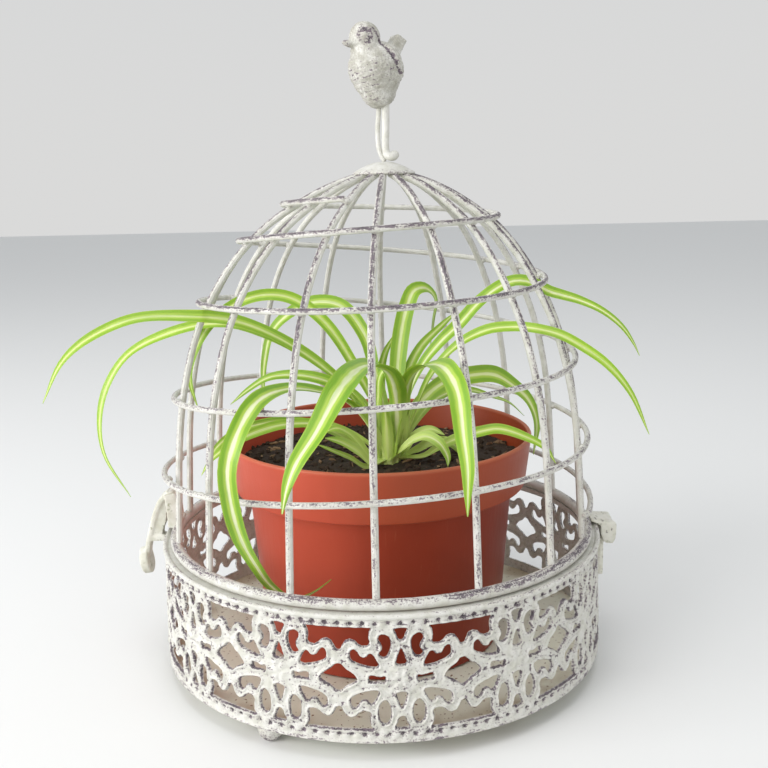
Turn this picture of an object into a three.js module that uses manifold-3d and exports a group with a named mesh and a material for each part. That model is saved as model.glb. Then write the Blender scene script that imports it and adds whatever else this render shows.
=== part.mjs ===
// Potted spider plant standing in a domed wire bird-cage holder.
// Millimetres, +Z up. The origin is the centre of the floor plate's underside,
// +X points to the lid's hinge and -Y to the front.

import * as THREE from 'three';
import { mergeVertices } from 'three/addons/utils/BufferGeometryUtils.js';
import Module from 'manifold-3d';

const wasm = await Module();
wasm.setup();

// Clearance between two pieces that touch on the real thing.
const GAP = 0.3;

// Openwork tray.
const BAND_R = { bottom: 93, top: 91.8 };
const BAND_Z = { bottom: 0.3, top: 44.9 };
const BAND_THICK = 1.2;
const OPENWORK_Z = { low: 5.4, high: 43.1 };
const UNIT_COUNT = 13;
const UNIT_PHASE = -86;
const EDGE_R = { inner: 86, outer: 92.4 };
const EDGE_Z = { bottom: 45.1, top: 47.4 };
const PLATE = { radius: 91.1, thick: 1.2 };
const FOOT = { radius: 4.8, ring: 86.5, azimuth: -119, depth: 7, count: 3 };

// Wire dome of the lid. The outline gives the rib's radius at each height.
const RING = { radius: 87.2, wire: 2.1, z: 49.8 };
const RIB_AZIMUTHS = [
  -91.25, -66.5, -42.5, -20.5, 1, 22.5, 43, 65.5, 88.75, 110, 133, 152, 171, -162, -138.5, -112,
];
const RIB_WIRE = 1.55;
const DOME_OUTLINE = [
  [52.2, 86.2], [70, 85.2], [90, 83.9], [110, 81.3], [127, 77.3], [140, 72.8], [150, 67.9],
  [160, 61.8], [170, 53.8], [178, 45.4], [184, 36.6], [189.5, 27], [193.4, 18], [195.7, 10.5],
];
const RIB_HEIGHTS = [52.2, 80, 104, 124, 141, 156, 168, 178, 186, 192, 195.7];
const TOP_SHIFT = { from: 140, to: 200, x: 4.5 };

// One long wire wound round the ribs: half turns from the left side, and height on the ribs.
// It starts and ends at a rib, counted clockwise from above.
const COIL_WIRE = 1.35;
const COIL_OFFSET = 3.3;
const COIL_RIBS = { first: 13, last: 89 };
const COIL_HEIGHTS = [
  [-0.4, 185.3], [0, 183], [1, 177.5], [1.5, 175], [2, 169], [3, 153.3], [3.5, 149.3], [4, 145.6],
  [5, 122.8], [5.5, 117.7], [6, 107.7], [7, 90], [7.5, 86.5], [8, 77], [9.12, 61.3],
];
const COIL_LOOSE = { turn: 8, width: 0.45, by: 2.6 };

// Cap and bird.
const CAP = { radius: 12.6, rim: 197.6, apex: 200.8, x: 4.3 };
const BIRD = { x: 2.5, z: 221.5, turn: 15 };
const BIRD_ROUNDS = {
  breast: { at: [0, 0, 14], radii: [10.6, 9.2, 13.4], tilt: 12 },
  rump: { at: [0.2, 0, 6.2], radii: [6.8, 6, 6.6], tilt: 0 },
  head: { at: [-4.4, 0, 26], radii: [7.3, 7, 7.3], tilt: 0 },
  nearWing: { at: [1.5, -7.8, 14.5], radii: [7.4, 2.4, 9], tilt: -20 },
  farWing: { at: [1.5, 7.8, 14.5], radii: [7.4, 2.4, 9], tilt: -20 },
};
const BEAK = { at: [-10.9, 0, 25.6], radius: 1.8, length: 4.6 };
const TAIL = { at: [5.6, 0, 22.6], size: [9, 6.4, 5], tilt: -50 };
const LEG_RIGHT = { radius: 1.6, route: [[5.8, 0, 226], [6, 0, 215], [6, 0, 206], [6.6, -0.8, 202.9],
  [8.4, -1.4, 202.5], [9.9, 0, 202.8], [9.4, 1.6, 203.2]] };
const LEG_LEFT = { radius: 1.1, route: [[2.2, 1, 226], [1.5, 1, 217], [1.3, 1, 210], [2.4, 0.6, 201.3]] };

// Hinge on the right, latch on the left.
const HINGE = { x: 97.6, z: 44.5, pin: 1.25, bore: 1.55, eye: 2.9, width: 13, centre: 5.2 };
const STRAP_OUTLINE = [
  [89.7, 48.3], [92.6, 48.7], [94.4, 47.9], [95.6, 45.6], [97.6, 46], [98.4, 47.2],
  [95.6, 49.3], [93, 50.7], [89.7, 51],
];
const LEAF_SHEET = { low: [93.1, -5.5, 24.5], high: [94.5, 5.5, 40.6] };
const LEAF_NECK = [[93.1, 39.6], [94.5, 39.6], [97.9, 42.6], [95.4, 44.4], [93.1, 41.6]];
const LATCH = { x: -89.5, z: 63.4, pin: 1.25, bore: 1.6, eye: 2.6, width: 7.6, ear: 1.3 };
const EAR_OUTLINE = [[-91.2, 52.2], [-86.4, 52.2], [-87.1, 65.6], [-91.9, 65.6]];
const BRACKET_FOOT = { from: -90.6, to: -85.2, thick: 1.2 };
const LEVER_ARM = { width: 6, thick: 2 };
const LEVER_ROUTE = [[-91, 65], [-95, 60.4], [-98, 52.5], [-100.2, 44.6], [-102, 37]];
const LEVER_PADDLE = { x: -102.4, z: 35.2, radius: 6.6, thick: 3.4, tilt: 80 };
const LEVER_NOSE = { low: [-99.8, -3, 43.8], high: [-92.8, 3, 46] };

// Pot, compost and the plant's crown.
const POT = {
  bottomR: 50.4, bodyR: 55.8, bandLowR: 61.5, rimR: 64, wall: 1.6, z: 1.5, bandZ: 69.3, rimZ: 90,
};
const SOIL = { edge: 77.4, middle: 79.2, hole: 66 };
const CROWN = { x: 4, y: -13, radius: 8.6, top: 84 };

// Leaves: greatest width, and the middle line from the crown to the tip. Those that arch
// sideways roll over towards the front.
const BLADE_THICK = 0.7;
const BLADE_ROLL = 52;
const LEAVES = {
  farLeft: { width: 5.6, route: [[2, -12, 81], [0, -12, 92], [-7, -13, 105], [-18, -15, 117],
    [-31, -18, 128], [-45, -22, 137], [-57, -26, 142], [-69, -30, 144], [-89, -37, 145],
    [-100, -40, 142], [-111, -43, 136], [-118, -45, 129], [-125, -47, 115]] },
  leftDroop: { width: 4.6, route: [[1, -10, 81], [-4, -10, 95], [-16, -9, 113], [-32, -8, 126],
    [-47, -8, 134], [-62, -7, 138], [-80, -7, 136], [-101, -8, 127], [-111, -9, 114],
    [-115, -10, 100], [-114, -11, 85], [-104, -13, 67]] },
  leftHang: { width: 5, route: [[3, -9, 81], [1, -8, 95], [-9, -6, 118], [-21, -4, 137],
    [-34, -2, 147], [-45, -2, 149], [-57, -3, 146], [-68, -4, 138], [-76, -5, 125], [-78, -5, 115],
    [-75, -6, 102]] },
  backLeft: { width: 6, route: [[4, -8, 81], [3, -5, 95], [-1, 0, 115], [-5, 6, 130],
    [-15, 12, 142], [-28, 17, 143], [-38, 20, 138], [-46, 22, 130], [-50, 24, 117],
    [-52, 25, 97]] },
  leftLow: { width: 5, route: [[2, -11, 81], [0, -10, 92], [-8, -8, 105], [-19, -6, 112],
    [-32, -3, 115], [-45, 0, 114], [-54, 2, 109], [-63, 3, 102]] },
  frontLeft: { width: 10, route: [[6, -14, 81], [7, -17, 92], [7, -25, 110], [4, -38, 122],
    [-4.5, -59, 128.5], [-12.5, -82, 125], [-20, -97, 114], [-26, -104, 106], [-29, -106, 99],
    [-31, -106, 90]] },
  farFront: { width: 6.8, route: [[1, -14, 81], [-2, -17, 92], [-12, -26, 108], [-24, -40, 116],
    [-34, -56, 120], [-42, -72, 119], [-47, -82, 112], [-51, -85, 100], [-51, -83, 87],
    [-49, -78, 72], [-45, -70, 58], [-41, -62, 47], [-34, -58, 40], [-26, -57, 42],
    [-19, -57, 47]] },
  rightFront: { width: 8.2, route: [[8, -13, 81], [10, -16, 92], [11, -23, 110], [14, -36, 121],
    [20, -56, 128], [24, -73, 129], [27, -87, 124], [28, -95, 112], [29, -99, 102], [29, -99, 94],
    [29, -98, 85]] },
  rightBack: { width: 7.6, route: [[8, -10, 81], [12, -5, 92], [19, 1, 103], [29, 8, 109],
    [39, 14, 110], [51, 20, 109], [60, 24, 103], [67, 27, 96], [71, 28, 86], [70, 28, 70]] },
  upright: { width: 7, route: [[5, -10, 81], [7, -6, 95], [8, 0, 114], [10, 4, 130], [13, 8, 142],
    [16, 10, 148], [21, 13, 148.5], [25, 15, 144], [24, 16, 134], [23, 17, 123]] },
  smallArch: { width: 3.6, route: [[2, -14, 81], [0, -16, 95], [0, -17, 108], [1, -18, 117],
    [3.5, -19, 120], [7, -20, 119], [9, -21, 113], [9.5, -21, 106]] },
  thinUpright: { width: 4, route: [[4, -10, 81], [2, -4, 95], [1, 4, 110], [3, 9, 121],
    [8, 12, 130]] },
  upRight: { width: 4.4, route: [[7, -10, 81], [9, -6, 95], [12, 0, 113], [18, 6, 124],
    [27, 12, 132], [35, 18, 138]] },
  highRight: { width: 5, route: [[8, -10, 81], [10, -9, 95], [14, -8, 110], [19, -8, 120],
    [26.5, -8, 129], [34.5, -8, 136.5], [41, -9, 144], [49, -10, 150.5], [55, -10, 153],
    [60, -10, 153], [65.5, -10, 150.8], [70, -10.5, 148.5], [75, -11, 147], [82, -11, 144.8],
    [91, -12, 140.5], [99, -12, 134], [104, -12, 127], [106.5, -12, 122]] },
  farRight: { width: 4.6, route: [[9, -12, 81], [14, -11, 97], [22, -12, 116], [32, -15, 128],
    [44, -20, 135], [54, -24, 136.5], [63, -28, 136], [71, -31, 134], [80, -34, 129],
    [88, -37, 123], [96, -40, 113], [103, -43, 97]] },
  lowRight: { width: 4.6, route: [[8, -14, 81], [18, -15, 82], [25, -17, 87], [33, -19, 91],
    [41, -22, 94], [48, -26, 96], [57, -30, 94], [65, -33, 90], [69, -35, 84]] },
  backRim: { width: 4.2, route: [[8, -9, 81], [13, -2, 90], [22, 8, 99], [33, 20, 102],
    [43, 29, 100], [51, 33, 96.5], [60, 36, 92.5], [67, 37, 86]] },
  shortRight: { width: 4.2, route: [[8, -13, 81], [11, -14, 85], [15, -14, 91], [21, -14, 93.5],
    [27, -14, 91]] },
  curlRight: { width: 5, route: [[6, -17, 81], [9, -20, 86], [14, -22, 91], [19, -24, 93],
    [24, -27, 91], [27, -29, 86], [27, -31, 82.5]] },
  curlRightBack: { width: 4.2, route: [[9, -13, 81], [15, -12, 84], [22, -13, 88], [29, -15, 88],
    [33, -18, 85], [35, -20, 81.5]] },
  lowLeft: { width: 4.6, route: [[1, -15, 81], [-4, -17, 83], [-8, -19, 89], [-12, -21, 94],
    [-17, -23, 97], [-22, -26, 96]] },
  lowLeftFront: { width: 5.4, route: [[2, -18, 81], [-4, -22, 82], [-9, -26, 88], [-15, -30, 93],
    [-21, -34, 96]] },
  lowLeftThin: { width: 3.2, route: [[1, -19, 81], [-6, -24, 81], [-12, -28, 86], [-18, -32, 90],
    [-24, -36, 94]] },
  overRim: { width: 4.6, route: [[1, -12, 81], [-6, -12, 88], [-22, -14, 96], [-38, -19, 98],
    [-51, -26, 96], [-59, -31, 93], [-66, -34, 88], [-70, -34, 82]] },
  overRimBack: { width: 4, route: [[1, -11, 81], [-7, -9, 84], [-20, -7, 92], [-36, -9, 97],
    [-50, -14, 97], [-60, -18, 94], [-67, -21, 88], [-70, -23, 80]] },
};

const CREAM_PAINT = new THREE.MeshStandardMaterial({ color: 0xe6e3d3, roughness: 0.6, metalness: 0.1 });
const TERRACOTTA_PLASTIC = new THREE.MeshStandardMaterial({ color: 0xa94a30, roughness: 0.45 });
const COMPOST = new THREE.MeshStandardMaterial({ color: 0x2a1c12, roughness: 1 });
const LEAF_GREEN = new THREE.MeshStandardMaterial({ color: 0x86b43a, roughness: 0.5 });

const object = new THREE.Group();
const degrees = THREE.MathUtils.degToRad;

function addPiece(name, geometry, material) {
  const mesh = new THREE.Mesh(geometry, material);
  mesh.name = name;
  object.add(mesh);
  return mesh;
}

// A geometry with positions only and its shared vertices merged.
function welded(geometry) {
  const bare = geometry.clone();
  bare.deleteAttribute('normal');
  bare.deleteAttribute('uv');
  return mergeVertices(bare, 1e-4);
}

function toSolid(geometry) {
  const mesh = welded(geometry);
  return new wasm.Manifold(new wasm.Mesh({
    numProp: 3,
    vertProperties: new Float32Array(mesh.attributes.position.array),
    triVerts: new Uint32Array(mesh.index.array),
  }));
}

// The solid's one outer body, with any hollow that the joins sealed inside it filled.
function fromSolid(solid) {
  const [body] = solid.decompose().sort((a, b) => b.volume() - a.volume());
  const mesh = body.getMesh();
  const geometry = new THREE.BufferGeometry();
  geometry.setAttribute('position', new THREE.BufferAttribute(new Float32Array(mesh.vertProperties), 3));
  geometry.setIndex(new THREE.BufferAttribute(new Uint32Array(mesh.triVerts), 1));
  return geometry;
}

function join(geometries) {
  return geometries.map(toSolid).reduce((whole, piece) => whole.add(piece));
}

// A ring or a turned piece about the Z axis. The profile is a list of [radius, height] that
// climbs on the outside; a ring's profile closes on itself.
function turned(profile, segments) {
  const points = profile.map(([radius, height]) => new THREE.Vector2(radius, height));
  return welded(new THREE.LatheGeometry(points, segments).rotateX(Math.PI / 2));
}

// A flat outline in the XZ plane, as wide as given along Y and centred on it.
function plate(outline, width) {
  const depth = { depth: width, bevelEnabled: false, curveSegments: 6 };
  return welded(new THREE.ExtrudeGeometry(outline, depth).translate(0, 0, -width / 2).rotateX(Math.PI / 2));
}

// Tube of one radius through a list of points, with flat ends.
function wire(points, radius, sides) {
  const path = points.map((point) => new THREE.Vector3(...point));
  const positions = [];
  const index = [];
  const tangent = new THREE.Vector3();
  const normal = new THREE.Vector3();
  const last = path.length - 1;
  path.forEach((point, i) => {
    tangent.subVectors(path[Math.min(i + 1, last)], path[Math.max(i - 1, 0)]).normalize();
    if (i === 0) normal.set(tangent.z, tangent.x, tangent.y);
    normal.addScaledVector(tangent, -normal.dot(tangent)).normalize();
    const binormal = new THREE.Vector3().crossVectors(tangent, normal);
    for (let s = 0; s < sides; s++) {
      const angle = (2 * Math.PI * s) / sides;
      const corner = point.clone();
      corner.addScaledVector(normal, radius * Math.cos(angle));
      corner.addScaledVector(binormal, radius * Math.sin(angle));
      positions.push(...corner.toArray());
    }
  });
  for (let i = 0; i < last; i++) {
    for (let s = 0; s < sides; s++) {
      const a = i * sides + s;
      const b = i * sides + ((s + 1) % sides);
      index.push(a, b, b + sides, a, b + sides, a + sides);
    }
  }
  for (let s = 1; s < sides - 1; s++) {
    const end = last * sides;
    index.push(0, s + 1, s, end, end + s, end + s + 1);
  }
  const geometry = new THREE.BufferGeometry();
  geometry.setAttribute('position', new THREE.Float32BufferAttribute(positions, 3));
  geometry.setIndex(index);
  return geometry;
}

// Smooth curve through knots of [place, value].
function through(knots) {
  const slope = (i) => {
    const a = knots[Math.max(i - 1, 0)];
    const b = knots[Math.min(i + 1, knots.length - 1)];
    return (b[1] - a[1]) / (b[0] - a[0]);
  };
  return (place) => {
    let i = knots.findIndex((knot) => knot[0] >= place) - 1;
    i = THREE.MathUtils.clamp(i, 0, knots.length - 2);
    const span = knots[i + 1][0] - knots[i][0];
    const t = (place - knots[i][0]) / span;
    const rise = (1 - t) * (1 - t) * (knots[i][1] * (1 + 2 * t) + slope(i) * span * t);
    return rise + t * t * (knots[i + 1][1] * (3 - 2 * t) - slope(i + 1) * span * (1 - t));
  };
}

// Tray: openwork band. One unit of the pattern is drawn flat, across u and up v from its
// flower, and repeated round the tray with front, back and edge faces.
const unitWidth = (2 * Math.PI * BAND_R.top) / UNIT_COUNT;
const openworkMiddle = (OPENWORK_Z.low + OPENWORK_Z.high) / 2;
const openworkHalf = (OPENWORK_Z.high - OPENWORK_Z.low) / 2;
const EAR_HOLE = [[6.2, 16.4], [3.7, 12.4], [5.2, 8], [7.7, 8.8], [7.9, 14.6]];
const ARM_HOLE = [[8.4, 4.4], [10.8, 9], [16.3, 10.4], [18, 8.8], [16.6, 5.4]];
const CENTRE_TOP = [[0, 14.2], [2.1, 18], [-2.1, 18]];
const CENTRE_DROP = [[0, 10.9], [-1.9, 5.8], [1.9, 5.8]];
const WIDE_OPENING = [[20.7, 10.9], [17.9, 14.4], [14.2, 12.2], [11.2, 12.8], [10.6, openworkHalf]];
const DIAMOND = { tip: 15.6, half: 5 };

function bandUnit() {
  const half = unitWidth / 2;
  const low = BAND_Z.bottom - openworkMiddle;
  const high = BAND_Z.top - openworkMiddle;
  const border = [-1, -0.5, 0, 0.5, 1];
  const upperSide = [[half, WIDE_OPENING[0][1]], ...WIDE_OPENING, [half, openworkHalf]];
  const lowerSide = upperSide.map(([u, v]) => [u, -v]).reverse();
  const diamond = [[half, -DIAMOND.half], [DIAMOND.tip, 0], [half, DIAMOND.half]];
  const right = [...lowerSide, ...diamond, ...upperSide];
  const left = right.map(([u, v]) => [-u, v]).reverse();
  const bottom = border.map((place) => [place * half, low]);
  const top = border.map((place) => [-place * half, high]);
  const contour = [...bottom, ...right, ...top, ...left];
  const flipU = (hole) => hole.map(([u, v]) => [-u, v]);
  const flipV = (hole) => hole.map(([u, v]) => [u, -v]);
  const holes = [CENTRE_TOP, CENTRE_DROP, flipV(CENTRE_TOP), flipV(CENTRE_DROP)];
  for (const hole of [EAR_HOLE, ARM_HOLE]) {
    holes.push(hole, flipU(hole), flipV(hole), flipU(flipV(hole)));
  }
  return { contour, holes };
}

function openworkBand() {
  const { contour, holes } = bandUnit();
  const toVectors = (loop) => loop.map(([u, v]) => new THREE.Vector2(u, v));
  const clockwise = holes.map((hole) => {
    const loop = toVectors(hole);
    return THREE.ShapeUtils.isClockWise(loop) ? loop : loop.reverse();
  });
  const outline = toVectors(contour);
  const faces = THREE.ShapeUtils.triangulateShape(outline, clockwise);
  const loops = [outline, ...clockwise];
  const flat = loops.flat();
  const seam = (point) => Math.abs(Math.abs(point.x) - unitWidth / 2) < 1e-6;
  const positions = [];
  const place = (point, unit, inward) => {
    const z = openworkMiddle + point.y;
    const share = (z - BAND_Z.bottom) / (BAND_Z.top - BAND_Z.bottom);
    const radius = THREE.MathUtils.lerp(BAND_R.bottom, BAND_R.top, share) - inward;
    const angle = degrees(UNIT_PHASE) + ((point.x / unitWidth + unit) * 2 * Math.PI) / UNIT_COUNT;
    positions.push(radius * Math.cos(angle), radius * Math.sin(angle), z);
  };
  for (let unit = 0; unit < UNIT_COUNT; unit++) {
    for (const [a, b, c] of faces) {
      for (const corner of [a, b, c]) place(flat[corner], unit, 0);
      for (const corner of [a, c, b]) place(flat[corner], unit, BAND_THICK);
    }
    for (const loop of loops) {
      loop.forEach((from, i) => {
        const to = loop[(i + 1) % loop.length];
        if (seam(from) && seam(to)) return;
        place(from, unit, 0);
        place(from, unit, BAND_THICK);
        place(to, unit, 0);
        place(to, unit, 0);
        place(from, unit, BAND_THICK);
        place(to, unit, BAND_THICK);
      });
    }
  }
  const geometry = new THREE.BufferGeometry();
  geometry.setAttribute('position', new THREE.Float32BufferAttribute(positions, 3));
  return mergeVertices(geometry, 1e-3);
}

addPiece('openwork_band', openworkBand(), CREAM_PAINT);

// Tray: rolled top edge that the lid's ring rests on.
const edgeRound = (EDGE_Z.top - EDGE_Z.bottom) / 2;
const edgeFlat = EDGE_R.outer - 0.8;
const edgeProfile = [
  [EDGE_R.inner, EDGE_Z.bottom], [edgeFlat, EDGE_Z.bottom], [EDGE_R.outer, EDGE_Z.bottom + edgeRound],
  [edgeFlat, EDGE_Z.top], [EDGE_R.inner, EDGE_Z.top], [EDGE_R.inner, EDGE_Z.bottom],
];
addPiece('rolled_top_edge', turned(edgeProfile, 4 * UNIT_COUNT), CREAM_PAINT);

// Tray: floor plate and its three ball feet, each with a small flat to stand on.
const plateProfile = [[0, 0], [PLATE.radius, 0], [PLATE.radius, PLATE.thick], [0, PLATE.thick]];
addPiece('floor_plate', turned(plateProfile, 4 * UNIT_COUNT), CREAM_PAINT);

function ballFoot() {
  const centre = FOOT.radius * 0.92 - FOOT.depth;
  const profile = [[0, -FOOT.depth]];
  for (const angle of [-67, -40, -13, 14, 30]) {
    profile.push([FOOT.radius * Math.cos(degrees(angle)), centre + FOOT.radius * Math.sin(degrees(angle))]);
  }
  profile[1][1] = -FOOT.depth;
  profile[profile.length - 1][1] = -GAP;
  profile.push([0, -GAP]);
  return turned(profile, 12);
}

for (let i = 0; i < FOOT.count; i++) {
  const azimuth = degrees(FOOT.azimuth + (360 * i) / FOOT.count);
  const foot = addPiece(`ball_foot_${i + 1}`, ballFoot(), CREAM_PAINT);
  foot.position.set(FOOT.ring * Math.cos(azimuth), FOOT.ring * Math.sin(azimuth), 0);
}

// Lid: round base ring, ribs and coil. The dome's top stands a little off to the right.
const domeRadius = through(DOME_OUTLINE);
const coilHeight = through(COIL_HEIGHTS);

function domeShift(z) {
  const share = Math.max(0, (z - TOP_SHIFT.from) / (TOP_SHIFT.to - TOP_SHIFT.from));
  return TOP_SHIFT.x * share * share;
}

function onDome(azimuth, height, offset) {
  const lean = (domeRadius(height + 0.5) - domeRadius(height - 0.5));
  const length = Math.hypot(1, lean);
  const radius = domeRadius(height) + offset / length;
  const z = height - (offset * lean) / length;
  return [radius * Math.cos(azimuth) + domeShift(z), radius * Math.sin(azimuth), z];
}

const ringProfile = [];
for (let i = 0; i <= 8; i++) {
  const angle = degrees(45 * i - 22.5);
  const wireR = RING.wire / Math.cos(degrees(22.5));
  ringProfile.push([RING.radius + wireR * Math.cos(angle), RING.z + wireR * Math.sin(angle)]);
}
addPiece('lid_ring', turned(ringProfile, 3 * RIB_AZIMUTHS.length), CREAM_PAINT);

RIB_AZIMUTHS.forEach((azimuth, i) => {
  const route = RIB_HEIGHTS.map((height) => onDome(degrees(azimuth), height, 0));
  addPiece(`rib_${String(i + 1).padStart(2, '0')}`, wire(route, RIB_WIRE, 5), CREAM_PAINT);
});

// Azimuth of the coil's crossing of its nth rib. Between two ribs it has one more point.
const clockwiseRibs = [...RIB_AZIMUTHS].sort((a, b) => b - a);

function crossing(n) {
  const round = Math.floor(n / clockwiseRibs.length);
  return clockwiseRibs[n % clockwiseRibs.length] + 360 * (1 - round);
}

const coilRoute = [];
for (let n = COIL_RIBS.first; n <= COIL_RIBS.last; n += 0.5) {
  const azimuth = (crossing(Math.floor(n)) + crossing(Math.ceil(n))) / 2;
  const turn = (180 - azimuth) / 180;
  const loose = COIL_LOOSE.by * Math.exp(-(((turn - COIL_LOOSE.turn) / COIL_LOOSE.width) ** 2));
  coilRoute.push(onDome(degrees(azimuth), coilHeight(turn), COIL_OFFSET + loose));
}
addPiece('coil_wire', wire(coilRoute, COIL_WIRE, 5), CREAM_PAINT);

// Lid: shallow cap over the ribs' ends.
const capProfile = [[0, CAP.rim + 2]];
capProfile.push([CAP.radius - 0.3, CAP.rim], [CAP.radius, CAP.rim + 0.5]);
for (const share of [0.75, 0.5, 0.25, 0]) {
  capProfile.push([CAP.radius * share, CAP.rim + 0.5 + (CAP.apex - CAP.rim - 0.5) * (1 - share * share)]);
}
addPiece('dome_cap', turned(capProfile, 24).translate(CAP.x, 0, 0), CREAM_PAINT);

// Lid: bird on two wire legs. The legs stand in holes under its belly.
function smoothRoute(route, steps) {
  const curve = new THREE.CatmullRomCurve3(route.map((point) => new THREE.Vector3(...point)));
  return curve.getPoints(steps).map((point) => point.toArray());
}

function ellipsoid({ at, radii, tilt }) {
  const ball = new THREE.SphereGeometry(1, 12, 8).scale(...radii);
  return ball.rotateY(degrees(tilt)).translate(...at);
}

function birdSolid() {
  const rounds = Object.values(BIRD_ROUNDS).map(ellipsoid);
  const beak = new THREE.ConeGeometry(BEAK.radius, BEAK.length, 8);
  beak.rotateZ(Math.PI / 2).translate(...BEAK.at);
  const tail = new THREE.BoxGeometry(...TAIL.size).rotateY(degrees(TAIL.tilt)).translate(...TAIL.at);
  return join([...rounds, beak, tail]).rotate([0, 0, BIRD.turn]).translate([BIRD.x, 0, BIRD.z]);
}

const legs = { right: LEG_RIGHT, left: LEG_LEFT };
let bird = birdSolid();
for (const [side, leg] of Object.entries(legs)) {
  const route = smoothRoute(leg.route, 12);
  addPiece(`bird_leg_${side}`, wire(route, leg.radius, 8), CREAM_PAINT);
  const above = [route[0][0], route[0][1], route[0][2] + GAP];
  bird = bird.subtract(toSolid(wire([above, ...route.slice(1, 7)], leg.radius + GAP, 8)));
}
addPiece('bird', fromSolid(bird), CREAM_PAINT);

// Hinge: a strap on the lid's ring with two eyes, a leaf on the tray with one, and the pin.
function outline(points) {
  return new THREE.Shape(points.map(([x, z]) => new THREE.Vector2(x, z)));
}

function disc(x, z, radius) {
  const circle = new THREE.Shape();
  circle.absarc(x, z, radius, 0, 2 * Math.PI);
  return circle;
}

function block(low, high) {
  const size = high.map((value, i) => value - low[i]);
  return new THREE.BoxGeometry(...size).translate(...low.map((value, i) => value + size[i] / 2));
}

const hingeBore = toSolid(plate(disc(HINGE.x, HINGE.z, HINGE.bore), 2 * HINGE.width));
const strapSlot = toSolid(block([94.3, -HINGE.centre / 2 - GAP, 40], [102, HINGE.centre / 2 + GAP, 52]));
const strapEye = plate(disc(HINGE.x, HINGE.z, HINGE.eye), HINGE.width);
const strap = join([plate(outline(STRAP_OUTLINE), HINGE.width), strapEye])
  .subtract(hingeBore).subtract(strapSlot);
addPiece('hinge_strap', fromSolid(strap), CREAM_PAINT);

const leafSheet = block(LEAF_SHEET.low, LEAF_SHEET.high);
const leafEye = plate(disc(HINGE.x, HINGE.z, HINGE.eye - GAP), HINGE.centre);
const leaf = join([leafSheet, plate(outline(LEAF_NECK), HINGE.centre), leafEye]).subtract(hingeBore);
addPiece('hinge_leaf', fromSolid(leaf), CREAM_PAINT);
addPiece('hinge_pin', plate(disc(HINGE.x, HINGE.z, HINGE.pin), HINGE.width + 1), CREAM_PAINT);

// Latch: a bracket of two ears and a pin on the lid's ring, and a lever that swings outwards.
const earPlace = LATCH.width / 2 + GAP + LATCH.ear / 2;
const earOuter = earPlace + LATCH.ear / 2;
const footLow = RING.z + RING.wire + GAP;
const bracketFoot = block([BRACKET_FOOT.from, -earOuter, footLow],
  [BRACKET_FOOT.to, earOuter, footLow + BRACKET_FOOT.thick]);
const ear = (place) => plate(outline(EAR_OUTLINE), LATCH.ear).translate(0, place, 0);
const latchPin = plate(disc(LATCH.x, LATCH.z, LATCH.pin), 2 * earPlace);
const bracket = join([bracketFoot, ear(earPlace), ear(-earPlace), latchPin]);
addPiece('latch_bracket', fromSolid(bracket), CREAM_PAINT);

const armPath = new THREE.CatmullRomCurve3(LEVER_ROUTE.map(([x, z]) => new THREE.Vector3(x, 0, z)));
const armCorner = (side, face) => [(side * LEVER_ARM.width) / 2, (face * LEVER_ARM.thick) / 2];
const armSection = outline([armCorner(-1, -1), armCorner(1, -1), armCorner(1, 1), armCorner(-1, 1)]);
const arm = new THREE.ExtrudeGeometry(armSection, { steps: 8, extrudePath: armPath });
const paddle = new THREE.CylinderGeometry(LEVER_PADDLE.radius, LEVER_PADDLE.radius, LEVER_PADDLE.thick, 16)
  .rotateZ(degrees(LEVER_PADDLE.tilt)).translate(LEVER_PADDLE.x, 0, LEVER_PADDLE.z);
const nose = block(LEVER_NOSE.low, LEVER_NOSE.high);
const latchEye = plate(disc(LATCH.x, LATCH.z, LATCH.eye), LATCH.width);
const latchBore = toSolid(plate(disc(LATCH.x, LATCH.z, LATCH.bore), 2 * LATCH.width));
const lever = join([arm, paddle, nose, latchEye]).subtract(latchBore);
addPiece('latch_lever', fromSolid(lever), CREAM_PAINT);

// Pot and compost. The compost fills the pot to a little below the rim, with a hole for the
// crown.
const inner = (radius) => radius - POT.wall;
const potProfile = [
  [0, POT.z], [POT.bottomR, POT.z], [POT.bodyR, POT.bandZ], [POT.bandLowR, POT.bandZ],
  [POT.rimR, POT.rimZ - 1.2], [POT.rimR - 0.6, POT.rimZ], [inner(POT.rimR), POT.rimZ],
  [inner(POT.bandLowR), POT.bandZ + POT.wall], [inner(POT.bodyR), POT.bandZ + POT.wall],
  [inner(POT.bottomR), POT.z + 2], [0, POT.z + 2],
];
addPiece('pot', turned(potProfile, 32), TERRACOTTA_PLASTIC);

const soilBody = turned([
  [0, POT.z + 2 + GAP], [inner(POT.bottomR) - GAP, POT.z + 2 + GAP],
  [inner(POT.bodyR) - GAP, POT.bandZ + POT.wall - 1], [inner(POT.bodyR) - GAP, POT.bandZ + POT.wall + GAP],
  [inner(POT.bandLowR) - GAP, POT.bandZ + POT.wall + GAP], [inner(POT.bandLowR) + 0.4, SOIL.edge],
  [40, SOIL.edge + 1], [18, SOIL.middle], [0, SOIL.middle],
], 32);
const crownHole = new THREE.CylinderGeometry(CROWN.radius + GAP, CROWN.radius + GAP, 20, 20)
  .rotateX(Math.PI / 2).translate(CROWN.x, CROWN.y, SOIL.hole + 10);
addPiece('compost', fromSolid(toSolid(soilBody).subtract(toSolid(crownHole))), COMPOST);

// Plant: thin arched blades, folded along the middle, fused with the crown they grow from.
const leafTaper = through([[0, 0.7], [0.15, 0.72], [0.45, 1], [0.75, 0.8], [0.92, 0.42], [1, 0.12]]);

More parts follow.
